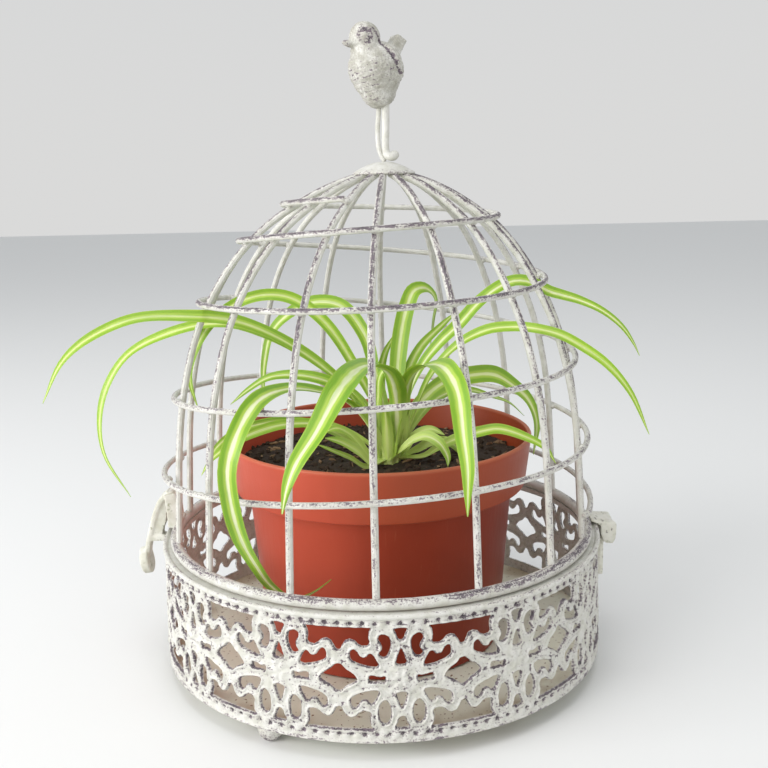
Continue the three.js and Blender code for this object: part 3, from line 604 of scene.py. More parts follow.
# Leaves of the spider plant. A real one is a long strap, folded along the middle and arching over
# to a fine tip, green at its margins with a cream stripe down the middle. Each is a thin closed
# blade along its own middle line, which runs from the crown to the tip.
LEAF_THICK = 0.45
LEAF_ROLL = 52.0
TURNED_LEAVES = {"right_back": 84.0, "back_left": 80.0, "left_hang": 78.0}
LEAF_STEPS, LEAF_ACROSS = 64, 8
LEAF_TAPER = [(0, 0.78), (0.12, 0.74), (0.45, 1), (0.75, 0.8), (0.92, 0.42), (1, 0.05)]
LEAF_FOLD = [(0, 0.75), (0.3, 0.4), (1, 0.22)]
PLAIN_STRIPE = 0.35
CREAM_STRIPES = {"front_left": 1.0, "far_front": 1.0, "right_front": 0.8, "curl_right": 0.8,
                 "high_right": 0.7, "right_back": 0.6, "upright": 0.6, "back_left": 0.6, "left_low": 0.6,
                 "low_left_front": 0.6}
LEAVES = {
    "far_left": (5.6, [
        (2, -12, 81), (0, -12, 92), (-7, -13, 105), (-18, -15, 117), (-31, -18, 128), (-45, -22, 137),
        (-57, -26, 142), (-69, -30, 144), (-89, -37, 145), (-100, -40, 142), (-111, -43, 136),
        (-118, -45, 129), (-125, -47, 115)]),
    "left_droop": (4.6, [
        (1, -10, 81), (-4, -10, 95), (-16, -9, 113), (-32, -8, 126), (-47, -8, 134), (-62, -7, 138),
        (-80, -7, 136), (-101, -8, 127), (-111, -9, 114), (-115, -10, 100), (-114, -11, 85),
        (-104, -13, 67)]),
    "left_hang": (5.0, [
        (3, -9, 81), (1, -8, 95), (-9, -6, 118), (-21, -4, 137), (-34, -2, 147), (-45, -2, 149),
        (-57, -3, 146), (-68, -4, 138), (-76, -5, 125), (-78, -5, 115), (-75, -6, 102)]),
    "back_left": (6.0, [
        (4, -8, 81), (3, -5, 95), (-1, 0, 115), (-5, 6, 130), (-15, 12, 142), (-28, 17, 143), (-38, 20, 138),
        (-46, 22, 130), (-50, 24, 117), (-52, 25, 97)]),
    "left_low": (5.0, [
        (2, -11, 81), (0, -10, 92), (-8, -8, 105), (-19, -6, 112), (-32, -3, 115), (-45, 0, 114),
        (-54, 2, 109), (-63, 3, 102)]),
    "front_left": (10.2, [
        (6, -14, 81), (7, -17, 92), (7, -25, 110), (4, -38, 122), (-4.5, -59, 128.5), (-12.5, -82, 125),
        (-20, -97, 114), (-26, -104, 106), (-29, -106, 99), (-31, -106, 90)]),
    "far_front": (6.9, [
        (1, -14, 81), (-2, -17, 92), (-12, -26, 108), (-24, -40, 116), (-34, -56, 120), (-42, -72, 119),
        (-47, -82, 112), (-51, -85, 100), (-51, -83, 87), (-49, -78, 72), (-45, -70, 58), (-41, -62, 47),
        (-34, -58, 40), (-26, -57, 42), (-19, -57, 47)]),
    "right_front": (8.4, [
        (8, -13, 81), (10, -16, 92), (11, -23, 110), (14, -36, 121), (20, -56, 128), (24, -73, 129),
        (27, -87, 124), (28, -95, 112), (29, -99, 102), (29, -99, 94), (29, -98, 85)]),
    "right_back": (7.8, [
        (8, -10, 81), (12, -5, 92), (19, 1, 103), (29, 8, 109), (39, 14, 110), (51, 20, 109), (60, 24, 103),
        (67, 27, 96), (71, 28, 86), (70, 28, 70)]),
    "upright": (7.2, [
        (5, -10, 81), (7, -6, 95), (8, 0, 114), (10, 4, 130), (13, 8, 142), (16, 10, 148), (21, 13, 148.5),
        (25, 15, 144), (24, 16, 134), (23, 17, 123)]),
    "small_arch": (3.6, [
        (2, -14, 81), (0, -16, 95), (0, -17, 108), (1, -18, 117), (3.5, -19, 120), (7, -20, 119),
        (9, -21, 113), (9.5, -21, 106)]),
    "thin_upright": (4.0, [(4, -10, 81), (2, -4, 95), (1, 4, 110), (3, 9, 121), (8, 12, 130)]),
    "up_right": (4.4, [(7, -10, 81), (9, -6, 95), (12, 0, 113), (18, 6, 124), (27, 12, 132), (35, 18, 138)]),
    "high_right": (5.6, [
        (8, -10, 81), (10, -9, 95), (14, -8, 110), (19, -8, 120), (26.5, -8, 129), (34.5, -8, 136.5),
        (41, -9, 144), (49, -10, 150.5), (55, -10, 153), (60, -10, 153), (65.5, -10, 150.8),
        (70, -10.5, 148.5), (75, -11, 147), (82, -11, 144.8), (91, -12, 140.5), (99, -12, 134),
        (104, -12, 127), (106.5, -12, 122)]),
    "far_right": (4.6, [
        (9, -12, 81), (14, -11, 97), (22, -12, 116), (32, -15, 128), (44, -20, 135), (54, -24, 136.5),
        (63, -28, 136), (71, -31, 134), (80, -34, 129), (88, -37, 123), (96, -40, 113), (103, -43, 97)]),
    "low_right": (4.6, [
        (8, -14, 81), (18, -15, 82), (25, -17, 87), (33, -19, 91), (41, -22, 94), (48, -26, 96),
        (57, -30, 94), (65, -33, 90), (69, -35, 84)]),
    "back_rim": (4.2, [
        (8, -9, 81), (13, -2, 90), (22, 8, 99), (33, 20, 102), (43, 29, 100), (51, 33, 96.5), (60, 36, 92.5),
        (67, 37, 86)]),
    "short_right": (4.2, [(8, -13, 81), (11, -14, 85), (15, -14, 91), (21, -14, 93.5), (27, -14, 91)]),
    "curl_right": (5.0, [
        (6, -17, 81), (9, -20, 86), (14, -22, 91), (19, -24, 93), (24, -27, 91), (27, -29, 86),
        (27, -31, 82.5)]),
    "curl_right_back": (4.2, [
        (9, -13, 81), (15, -12, 84), (22, -13, 88), (29, -15, 88), (33, -18, 85), (35, -20, 81.5)]),
    "low_left": (4.6, [
        (1, -15, 81), (-4, -17, 83), (-8, -19, 89), (-12, -21, 94), (-17, -23, 97), (-22, -26, 96)]),
    "low_left_front": (5.4, [(2, -18, 81), (-4, -22, 82), (-9, -26, 88), (-15, -30, 93), (-21, -34, 96)]),
    "low_left_thin": (3.2, [(1, -19, 81), (-6, -24, 81), (-12, -28, 86), (-18, -32, 90), (-24, -36, 94)]),
    "over_rim": (4.6, [
        (1, -12, 81), (-6, -12, 88), (-22, -14, 96), (-38, -19, 98), (-51, -26, 96), (-59, -31, 93),
        (-66, -34, 88), (-70, -34, 82)]),
    "over_rim_back": (4.0, [
        (1, -11, 81), (-7, -9, 84), (-20, -7, 92), (-36, -9, 97), (-50, -14, 97), (-60, -18, 94),
        (-67, -21, 88), (-70, -23, 80)]),
}
YOUNG = {"count": 8, "from": -98.0, "width": 5.4}
YOUNG_RISE = [(3.0, 75), (4.3, 82), (5.4, 90), (7.2, 98), (10.5, 106)]


def leaf_skin():
    """Green margins, yellow-green bands inside them and a cream stripe, with fine lengthwise veins."""
    made, tree, shader = new_material("leaf_skin")
    blade, cream = attribute(tree, "blade", "Vector"), attribute(tree, "cream")
    split = put(tree, "SeparateXYZ", {0: blade}).outputs
    across, along, seed = split["X"], split["Y"], split["Z"]
    lengthwise = put(tree, "CombineXYZ", {0: maths(tree, "MULTIPLY", along, 9), 1: seed}).outputs[0]
    wander = maths(tree, "MULTIPLY_ADD", speckle(tree, lengthwise, 1, 2), 0.3, -0.15)
    edge = maths(tree, "ADD", maths(tree, "ABSOLUTE", across), wander)
    veins = speckle(tree, stretch(tree, blade, (9, 4, 1)), 1.6, 3, 0.6)
    edge = maths(tree, "ADD", edge, maths(tree, "MULTIPLY_ADD", veins, 0.24, -0.12))
    stripe = tint(tree, cream, (0.56, 0.68, 0.17), (0.8, 0.84, 0.53))
    inner = tint(tree, fade(tree, edge, 0.1, 0.27), stripe, (0.41, 0.57, 0.07))
    margin = tint(tree, cream, (0.27, 0.45, 0.02), (0.19, 0.37, 0.014))
    colour = tint(tree, fade(tree, edge, 0.34, 0.6), inner, margin)
    colour = tint(tree, fade(tree, edge, 0.82, 1.05), colour, (0.35, 0.51, 0.05))
    shade = fade(tree, speckle(tree, blade, 2.2, 2), 0.42, 0.72)
    colour = tint(tree, shade, colour, (0.12, 0.3, 0.02), 0.3)
    # Pale leaf bases, made paler still by painted light that offsets the shade deep in the crown's bundle.
    base = maths(tree, "SUBTRACT", 1.0, fade(tree, along, 0.04, 0.36))
    colour = tint(tree, base, colour, (0.72, 0.85, 0.28), 0.8)
    shader.inputs["Subsurface Weight"].default_value = 0.12
    shader.inputs["Subsurface Scale"].default_value = 0.002
    shader.inputs["Subsurface Radius"].default_value = (0.6, 1.0, 0.2)
    ridges = maths(tree, "SINE", maths(tree, "MULTIPLY", across, 40))
    relief = maths(tree, "MULTIPLY_ADD", ridges, 0.5, veins)
    dress(tree, shader, colour, maths(tree, "MULTIPLY_ADD", veins, 0.2, 0.3), relief, 0.25, 0.0002)
    return made


def through(knots, places):
    """Smooth values through knots of (place, value)."""
    place, value = np.array(knots, float).T
    slopes = np.gradient(value, place)
    spot = np.clip(np.searchsorted(place, places) - 1, 0, len(place) - 2)
    span = place[spot + 1] - place[spot]
    t = (places - place[spot]) / span
    first = (1 - t) ** 2 * (value[spot] * (1 + 2 * t) + slopes[spot] * span * t)
    return first + t ** 2 * (value[spot + 1] * (3 - 2 * t) - slopes[spot + 1] * span * (1 - t))


def run_along(line, power=1.0):
    """How far each point lies along a line, by steps raised to a power."""
    return np.concatenate([[0], np.cumsum(np.linalg.norm(np.diff(line, axis=0), axis=1) ** power)])


def even_route(route, steps):
    """A smooth curve through the points, as evenly spaced points."""
    route = np.array(route, float)
    reach = run_along(route, 0.5)
    dense = np.linspace(0, reach[-1], 24 * len(route))
    curve = np.stack([through(list(zip(reach, route[:, axis])), dense) for axis in range(3)], axis=1)
    length = run_along(curve)
    even = np.linspace(0, length[-1], steps + 1)
    return np.stack([np.interp(even, length, curve[:, axis]) for axis in range(3)], axis=1), length[-1]


def unit_length(vectors):
    return vectors / np.linalg.norm(vectors, axis=1)[:, None]


def carried_side(line, side):
    """A side direction at each point of the line, carried along it without twisting."""
    tangents = unit_length(np.gradient(line, axis=0))
    sides = []
    for tangent in tangents:
        side = side - tangent * (side @ tangent)
        side = side / np.linalg.norm(side)
        sides.append(side)
    return tangents, np.array(sides)


def strip_faces(columns, rows, closed=False):
    """Faces between columns of points: a sheet, or a tube with its ends closed."""
    faces = []
    for k in range(columns if closed else columns - 1):
        here, ahead = k * rows, (k + 1) % columns * rows
        faces += [[here + r, here + r + 1, ahead + r + 1, ahead + r] for r in range(rows - 1)]
    if closed:
        ends = range(0, columns * rows, rows)
        faces += [list(ends), [end + rows - 1 for end in reversed(ends)]]
    return faces


def leaf(name, width, route, seed):
    line, length = even_route(route, LEAF_STEPS)
    rng = np.random.default_rng(seed)
    heading = line[int(0.6 * LEAF_STEPS)] - line[0]
    heading /= math.hypot(heading[0], heading[1])
    tangents, level = carried_side(line, np.array([-heading[1], heading[0], 0.0]))
    share = np.linspace(0, 1, LEAF_STEPS + 1)
    eased = np.clip(share / 0.3, 0, 1)
    eased = eased ** 2 * (3 - 2 * eased)
    roll = (math.radians(TURNED_LEAVES.get(name, LEAF_ROLL)) * heading[0] * eased)[:, None]
    sides = level * np.cos(roll) + np.cross(tangents, level) * np.sin(roll)
    ups = np.cross(tangents, sides)
    half = width / 2 * through(LEAF_TAPER, share)
    fold = np.interp(share, *zip(*LEAF_FOLD))
    phase = rng.random() * 6.3
    ripple = 0.1 * np.sin(share * length / 7 + phase) * np.minimum(1, share * 4)
    across = np.linspace(-1, 1, LEAF_ACROSS + 1)
    front, back, blade = [], [], []
    for a in across:
        lift = half * (fold * (abs(a) ** 1.4) + ripple * a * abs(a))
        thin = LEAF_THICK * (1 - 0.85 * abs(a) ** 4) * np.minimum(1, 0.35 + half / 1.6) / 2
        middle = line + sides * (half * a)[:, None] + ups * lift[:, None]
        front.append(middle + ups * thin[:, None])
        back.append(middle - ups * thin[:, None])
        blade += [(a, place * length / 100, seed * 7.3) for place in share]
    faces = [face[::-1] for face in strip_faces(LEAF_ACROSS + 1, LEAF_STEPS + 1)]
    points, faces = backed(np.concatenate(front), np.concatenate(back), faces)
    cream = np.full(len(points), CREAM_STRIPES.get(name, PLAIN_STRIPE))
    piece = build_mesh("leaf_" + name, points, faces, 80, blade=blade * 2, cream=cream)
    fitted(piece, LEAF_SKIN, "base")


def young_leaves():
    """Short leaves that stand close round the crown."""
    for number in range(YOUNG["count"]):
        angle = math.radians(YOUNG["from"] + 360 / YOUNG["count"] * number)
        lean = 0.35 * math.sin(2.4 * number)
        route = []
        for reach, height in YOUNG_RISE:
            turn = angle + lean * (height - 76) / 30
            x, y = CROWN["x"] + reach * math.cos(turn), CROWN["y"] + reach * math.sin(turn)
            route.append((x, y, height + 2 * lean))
        leaf(f"young_{number + 1}", YOUNG["width"], route, 60 + number)


LEAF_SKIN = leaf_skin()
for number, (leaf_name, (leaf_width, leaf_route)) in enumerate(LEAVES.items()):
    leaf(leaf_name, leaf_width, leaf_route, number + 1)
young_leaves()

# Crown of the plant. In the real one the leaves' pale bases stand in a tight bundle in the
# compost and wrap round each other. It is a slim fluted stump that widens upwards, and the
# leaves leave it all round.
CROWN_LOBES = 9
CROWN_PROFILE = [(0, 70), (4.2, 70), (4.5, 76), (4.4, 80), (4.2, 84), (3.9, 88), (3, 90), (1.6, 91),
                 (0, 91.4)]


def crown():
    points, faces = solid_turned(CROWN_PROFILE, 90, (CROWN["x"], CROWN["y"]))
    out = points[:, :2] - (CROWN["x"], CROWN["y"])
    angle = np.arctan2(out[:, 1], out[:, 0]) + 0.03 * (points[:, 2] - 80)
    flutes = np.abs(np.cos(CROWN_LOBES / 2 * angle))
    points[:, :2] = (CROWN["x"], CROWN["y"]) + out * (0.82 + 0.28 * flutes)[:, None]
    height = (points[:, 2] - 70) / 260
    # Its low place along the leaf gives it the pale base colour, with the painted light that lifts it.
    blade = np.stack([0.75 * (1 - flutes), height, np.full(len(points), 3.0)], axis=1)
    piece = build_mesh("plant_crown", points, faces, 80, blade=blade, cream=np.full(len(points), 0.5))
    fitted(piece, LEAF_SKIN, "base")
    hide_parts("spider_plant")


crown()

# Base ring of the lid. The real one is a thick round wire bent to a hoop, its top brushed dark
# where hands lift it. It rests on the tray's flange.
RING = {"radius": 87.2, "wire": 2.1, "z": 49.8}


def lid_ring():
    section = arc(RING["radius"], RING["z"], RING["wire"], 0, 345, 24)
    points, faces = turned(section, 240, wobble=0.03)
    out = (np.hypot(points[:, 0], points[:, 1]) - RING["radius"]) / RING["wire"]
    up = (points[:, 2] - RING["z"]) / RING["wire"]
    rub = 0.85 * np.clip(0.75 * up + 0.5 * out, 0, 1) ** 1.5
    cage_piece("lid_base_ring", points, faces, ring_brush(points), rub, "lid", "lid_ring")


lid_ring()

# Ribs of the dome. Each real one is a wire bent to the dome's outline and welded to the ring
# below and under the cap above. Each is a round tube along that outline.
RIB_AZIMUTHS = [-91.25, -66.5, -42.5, -20.5, 1, 22.5, 43, 65.5, 88.75, 110, 133, 152, 171, -162, -138.5,
                -112]
RIB_WIRE = 1.35
RIB_STEPS = ((51.6, 160, 36), (162, 190, 24), (190.6, 196.4, 9))
DOME_OUTLINE = [(52.2, 86.2), (70, 85.2), (90, 83.9), (110, 81.3), (127, 77.3), (140, 72.8), (150, 67.9),
                (160, 61.8), (170, 53.8), (178, 45.4), (184, 36.6), (189.5, 27), (193.4, 18), (195.7, 10.5),
                (197, 4)]
TOP_SHIFT = {"from": 140.0, "to": 200.0, "x": 4.5}


def dome_point(azimuth, height, offset=0.0):
    """A point on the dome at an azimuth in radians, offset outwards. Its top stands off to the right."""
    below, above = through(DOME_OUTLINE, np.array([height - 0.5, height + 0.5]))
    lean = above - below
    length = math.hypot(1, lean)
    radius = (below + above) / 2 + offset / length
    z = height - offset * lean / length
    share = max(0.0, (z - TOP_SHIFT["from"]) / (TOP_SHIFT["to"] - TOP_SHIFT["from"]))
    x = radius * math.cos(azimuth) + TOP_SHIFT["x"] * share ** 2
    return np.array([x, radius * math.sin(azimuth), z])


def tube(line, radii, sides=10):
    """Points, faces, brush directions and section directions of a round wire along a line."""
    line = np.asarray(line, float)
    tangents, normals = carried_side(line, np.array([0.31, 0.27, 0.91]))
    across = np.cross(tangents, normals)
    run = run_along(line)
    radii = np.broadcast_to(radii, len(line))
    points, brush, outward = [], [], []
    for k in range(sides):
        angle = 2 * math.pi * k / sides
        direction = normals * math.cos(angle) + across * math.sin(angle)
        points.append(line + direction * radii[:, None])
        outward.append(direction)
        brush.append(np.stack([run, radii * math.cos(angle), radii * math.sin(angle)], axis=1))
    faces = [face[::-1] for face in strip_faces(sides, len(line), closed=True)]
    return np.concatenate(points), faces, np.concatenate(brush), np.concatenate(outward)


def ribs():
    heights = np.concatenate([np.linspace(*steps) for steps in RIB_STEPS])
    for number, degrees in enumerate(RIB_AZIMUTHS):
        azimuth = math.radians(degrees)
        line = [dome_point(azimuth, height) for height in heights]
        points, faces, brush, outward = tube(line, RIB_WIRE)
        radial = np.array([math.cos(azimuth), math.sin(azimuth), 0])
        side = np.cross(radial, (0, 0, 1))
        off_dome = unit_length(np.cross(np.gradient(np.array(line), axis=0), side))
        outside = np.tile(0.97 * off_dome + 0.24 * side, (len(points) // len(line), 1))
        facing = np.clip((outward * outside).sum(1), 0, 1)
        rub = (0.54 + 0.37 * np.clip((points[:, 2] - 95) / 55, 0, 1)) * facing ** 1.25
        brush = brush + (number * 173.0, number * 19.0, 0)
        cage_piece(f"dome_rib_{number + 1:02d}", points, faces, brush, rub, "lid", f"rib_{number + 1:02d}")


ribs()

# Coil of the dome. The real one is one long wire wound nearly five times round the ribs and
# welded to each, with its end at a rib on the right. It is one tube, with a blob at each weld.
COIL_WIRE, COIL_OFFSET = 1.2, 2.75
COIL_HEIGHTS = [(-0.4, 185.3), (0, 183), (1, 177.5), (1.5, 175), (2, 169), (3, 153.3), (3.5, 149.3),
                (4, 145.6), (5, 122.8), (5.5, 117.7), (6, 107.7), (7, 90), (7.5, 86.5), (8, 77),
                (9.12, 61.3)]
COIL_START, COIL_END, COIL_STEPS = 248.0, -1460.5, 660
COIL_LOOSE = {"turn": 8.0, "width": 0.45, "by": 2.6}
WELD = {"size": (1.9, 1.6, 1.35), "inwards": 1.25}


def coil_point(turn):
    azimuth = math.radians(180 * (1 - turn))
    loose = COIL_LOOSE["by"] * math.exp(-((turn - COIL_LOOSE["turn"]) / COIL_LOOSE["width"]) ** 2)
    return dome_point(azimuth, through(COIL_HEIGHTS, np.array([turn]))[0], COIL_OFFSET + loose)


def coil():
    first, last = (180 - COIL_START) / 180, (180 - COIL_END) / 180
    line = [coil_point(turn) for turn in np.linspace(first, last, COIL_STEPS)]
    points, faces, brush, outward = tube(line, COIL_WIRE)
    away = unit_length(points[:, :2])
    facing = np.clip(0.72 * (outward[:, :2] * away).sum(1) + 0.7 * outward[:, 2], 0, 1)
    rub = (0.64 + 0.27 * np.clip((points[:, 2] - 100) / 50, 0, 1)) * facing ** 1.1
    cage_piece("dome_coil", points, faces, brush, rub, "lid", "coil_wire")
    welds = []
    ball, ball_faces = unit_ball(9, 12)
    crossings = [azimuth - 360 * turns for turns in range(-1, 6) for azimuth in RIB_AZIMUTHS]
    for azimuth in crossings:
        if not COIL_END - 0.1 <= azimuth <= COIL_START + 0.1:
            continue
        turn = (180 - azimuth) / 180
        middle = coil_point(turn)
        ahead = coil_point(turn + 0.01) - middle
        ahead /= np.linalg.norm(ahead)
        inward = np.array([-middle[0], -middle[1], -30.0])
        inward -= ahead * (inward @ ahead)
        inward /= np.linalg.norm(inward)
        axes = np.stack([ahead, inward, np.cross(ahead, inward)])
        welds.append((ball * WELD["size"] @ axes + middle + WELD["inwards"] * inward, ball_faces))
    points, faces = joined(welds)
    cage_piece("coil_welds", points, faces, points, np.full(len(points), 0.35), "lid")


coil()

# Cap of the dome. The real one is a small shallow disc pressed from sheet and brazed over the ribs'
# ends, with paint thick on it. It is turned, with a thin lip and a hollow underside.
CAP = {"radius": 12.6, "rim": 196.3, "apex": 201.4, "x": 4.3, "thick": 1.2}


def cap():
    edge = CAP["rim"] + 0.6
    outer = [(CAP["radius"] * share, edge + (CAP["apex"] - edge) * (1 - share ** 2))
             for share in (0.97, 0.85, 0.7, 0.5, 0.3, 0.12)]
    lip = arc(CAP["radius"] - 0.55, CAP["rim"] + 0.5, 0.55, -90, 60, 6)
    under = [(r - 0.2, z - CAP["thick"]) for r, z in outer[:0:-1]]
    profile = [(0, under[0][1]), *under, *lip, *outer[1:], (0, CAP["apex"])]
    points, faces = solid_turned(profile, 60, (CAP["x"], 0))
    rub = 0.2 + 0.3 * bump_at(np.hypot(points[:, 0] - CAP["x"], points[:, 1]) - CAP["radius"], 1.5)
    cage_piece("dome_top_cap", points, faces, points, rub, "lid", "dome_cap", sharp=60)


cap()

# Bird and its two wire legs. The real bird is cast metal with feathers in low relief, perched on
# the cap on legs of thick wire, one of which ends in a curled foot. Its body is built from
# rounded forms melted together, then marked with wings, feathers, an eye and a beak.
BIRD = {"x": 2.5, "z": 221.5, "turn": 28.0}
BIRD_FORMS = [
    ((-0.8, 0, 15.8), (11.2, 9.6, 10.4), 0), ((0.2, 0, 8.2), (7.6, 6.6, 7.8), 0),
    ((-0.4, 0, 11.6), (9.6, 8.2, 8.2), 0), ((-5.3, 0, 27.0), (6.2, 6.1, 6.3), 0),
    ((-4.6, 0, 21.6), (6.2, 6.8, 5.8), 0), ((2.6, 0, 20), (6.6, 7, 6), 20),
    ((2.3, -5.6, 16.4), (5.5, 3.4, 7.7), -20), ((2.3, 5.6, 16.4), (5.5, 3.4, 7.7), -20),
    ((-11.6, 0, 24.5), (3.6, 1.7, 1.4), 8), ((-9.4, 0, 25.2), (3, 2.8, 2.4), 0),
]
TAIL = {"at": (7.4, 0, 23.4), "size": (10, 6.4, 4.8), "tilt": -58.0}
WING_FRONT = {"x": 0.1, "z": 22.9, "slope": -0.6}
EYE = {"at": (-7.7, 5.0, 27.3), "radius": 1.1}
BIRD_VOXEL = 0.42
LEGS = {
    "right": ((1.6, 1.5, 1.9), [(5.5, 0, 226), (5.4, 0, 215), (5.2, 0, 206.4), (5.7, -0.8, 204),
                                (7, -1.3, 203.2), (8.4, -0.8, 203.4), (8.8, 0.5, 204.2)]),
    "left": ((1.0, 1.0, 1.0), [(2.9, 1, 226), (2.6, 1, 220), (2.1, 1, 213.5), (2.4, 0.8, 207),
                               (3.5, 0.4, 203.4), (4.7, 0.2, 201.4)]),
}
LEG_STEPS, LEG_VOXEL = 40, 0.28
CURLED_FOOT = ((7, -0.4, 203.5), (2.6, 1.8, 1.5), 0)


def melted(name, parts, voxel, smoothing):
    """The parts joined to one skin and smoothed, as points in millimetres and faces."""
    rough = build_mesh(name, *joined(parts))
    remesh = rough.modifiers.new("skin", "REMESH")
    remesh.mode = "VOXEL"
    remesh.voxel_size = voxel * MM
    smooth = rough.modifiers.new("soften", "SMOOTH")
    smooth.factor, smooth.iterations = 0.5, smoothing
    shape = rough.evaluated_get(bpy.context.evaluated_depsgraph_get()).to_mesh()
    points = np.array([vertex.co for vertex in shape.vertices]) / MM
    faces = [list(face.vertices) for face in shape.polygons]
    bpy.data.objects.remove(rough)
    return points, faces


def rotation(degrees, axis):
    return np.array(Matrix.Rotation(math.radians(degrees), 3, axis))


def placed(shape, centre, size, tilt):
    """Points and faces scaled, tilted about Y in degrees and moved."""
    points, faces = shape
    return (points * size) @ rotation(tilt, "Y").T + centre, faces


def placed_ball(centre, radii, tilt):
    return placed(unit_ball(17, 28), centre, radii, tilt)


def block(centre, size, tilt=0):
    corners = [(x, y, z) for x in (-0.5, 0.5) for y in (-0.5, 0.5) for z in (-0.5, 0.5)]
    faces = [(0, 1, 3, 2), (4, 6, 7, 5), (0, 4, 5, 1), (2, 3, 7, 6), (0, 2, 6, 4), (1, 5, 7, 3)]
    return placed((np.array(corners), faces), centre, size, tilt)


def bird():
    forms = [placed_ball(*form) for form in BIRD_FORMS]
    forms.append(block(TAIL["at"], TAIL["size"], TAIL["tilt"]))
    points, faces = melted("bird_rough", forms, BIRD_VOXEL, 3)
    outward = unit_length(points - (0, 0, 15.0))
    x, y, z = points.T
    behind_edge = x - WING_FRONT["x"] - WING_FRONT["slope"] * (z - WING_FRONT["z"])
    on_side = np.clip((np.abs(y) - 2) / 2, 0, 1)
    on_wing = np.clip(behind_edge, 0, 1) * on_side * (z < 24) * (x < 10)
    wing_edge = bump_at(behind_edge - 0.3, 0.9) * on_side * (z > 13) * (z < 31)
    tilt = math.radians(TAIL["tilt"])
    on_tail = (points - TAIL["at"]) @ np.array((math.cos(tilt), 0, -math.sin(tilt))) > 0.5
    rows = (z - 0.3 * x) / 2.0
    scallop = np.abs(np.sin(np.pi * (x / 2.2 + y / 2.2 + 0.5 * np.floor(rows))))
    feathers = ((rows % 1) - 0.45) * (0.5 + 0.5 * scallop) * ~on_tail * (1 - on_wing)
    quills = np.sin(2.4 * (x + 0.5 * z)) * on_wing
    eyes = [np.linalg.norm(points - np.array(EYE["at"]) * (1, side, 1), axis=1) for side in (-1, 1)]
    eye_gap = np.minimum(*eyes)
    grain = np.array([noise.noise(point * 0.9) for point in points])
    relief = 0.28 * feathers * (eye_gap > 3) + 0.22 * quills - 0.4 * wing_edge + 0.3 * on_wing + 0.2 * grain
    relief += 0.55 * bump_at(eye_gap, EYE["radius"] * 0.8) - 0.4 * bump_at(eye_gap - 1.9, 0.45)
    belly = bump_at(z - 13, 5) * (x < 3)
    nape = bump_at(x + 0.5, 1.2) * (z > 24)
    rub = 0.1 + 0.8 * wing_edge + 0.72 * bump_at(eye_gap - 2.4, 1.2)
    rub += 0.42 * (feathers < -0.12) * (0.3 + 0.7 * belly)
    rub += 0.5 * bump_at(x + 13.5, 1.6) + 0.2 * (grain > 0.22) + 0.5 * nape - 0.2 * on_tail
    points = points + outward * relief[:, None]
    points = points @ rotation(BIRD["turn"], "Z").T + (BIRD["x"], 0, BIRD["z"])
    cage_piece("cast_bird", points, faces, points, rub, "lid", "bird", sharp=70, grime=0.75)


def bird_legs():
    for side, (radii, route) in LEGS.items():
        line, _ = even_route(route, LEG_STEPS)
        radii = np.interp(np.linspace(0, 1, LEG_STEPS + 1), [0, 0.75, 1], radii)
        parts = [tube(line, radii, 12)[:2]]
        if side == "right":
            parts.append(placed_ball(*CURLED_FOOT))
        points, faces = melted("leg_rough", parts, LEG_VOXEL, 2)
        rub = np.full(len(points), 0.15)
        brush = points[:, (2, 0, 1)]
        cage_piece(f"bird_wire_leg_{side}", points, faces, brush, rub, "lid", f"bird_leg_{side}", sharp=70)


bird()
bird_legs()

# Hinge. The real one is a strap and a leaf bent from steel strip, each with its end rolled round
# the pin, under thick paint. Dark olive specks over the paint are painted shade for the greenish
# shade in its corners. The strap with its two side cheeks is welded on the lid's ring, the leaf on
# the band. All are bent strips, melted together.
HINGE = {"x": 97.6, "z": 44.5, "pin": 1.25, "roll": 2.15, "half": 6.5, "centre": 2.6, "gap": 0.3}
STRAP_ROUTE = [(89.6, 49.8), (91.6, 49.6), (93.4, 49.1), (96.4, 48.9), (98.8, 48.7), (99.7, 47.5),
               (99.7, 46.0)]
CHEEK = [(90.4, 50.1), (90.6, 49.2), (92.4, 48.7), (93.7, 47.5), (93.7, 44.5), (94.6, 41.2), (96, 39.9),
         (98.8, 39.7), (99.9, 41.2), (100.3, 44), (100.4, 47.8), (99.8, 49.2), (96.4, 49.5), (93.4, 49.6)]
LEAF_ROUTE = [(94.1, 25), (94.1, 32), (94.1, 39.5), (94.8, 41.4)]
LEAF_STRIP = {"half": 5.3, "thick": 2.9, "eye": 1.95, "eye_thick": 1.4}
STRIP, CHEEK_THICK, PIN_INSET = 1.6, 1.3, 1.1
STRIP_SIDES, STRIP_VOXEL = 20, 0.38


def bent_strip(route, low, high, thick):
    """A flat strip with rounded edges along a route of [x, z], between two heights in y."""
    line = np.array([(x, 0, z) for x, z in route], float)
    tangents = unit_length(np.gradient(line, axis=0))
    normals = np.stack([-tangents[:, 2], 0 * tangents[:, 0], tangents[:, 0]], axis=1)
    columns = []
    for angle in [2 * math.pi * k / STRIP_SIDES for k in range(STRIP_SIDES)]:
        c, s = math.cos(angle), math.sin(angle)
        across = thick / 2 * math.copysign(abs(c) ** 0.4, c)
        y = (low + high) / 2 + (high - low) / 2 * math.copysign(abs(s) ** 0.3, s)
        columns.append(line + normals * across + (0, y, 0))
    return np.concatenate(columns), strip_faces(STRIP_SIDES, len(line), closed=True)


def roller(centre, radius, low, high, edge=0.3):
    """A round bar along Y."""
    section = [(0, low), (radius - edge, low), (radius, low + edge), (radius, high - edge),
               (radius - edge, high), (0, high)]
    points, faces = solid_turned(section, 32)
    return np.stack([points[:, 0] + centre[0], points[:, 2], centre[1] - points[:, 1]], axis=1), faces


def upright_plate(outline, low, high):
    """A plate that stands across Y, from its outline of [x, z]."""
    count = len(outline)
    points = [(x, y, z) for y in (low, high) for x, z in outline]
    faces = [(k, (k + 1) % count, (k + 1) % count + count, k + count) for k in range(count)]
    faces += [tuple(reversed(range(count))), tuple(range(count, 2 * count))]
    return np.array(points), faces


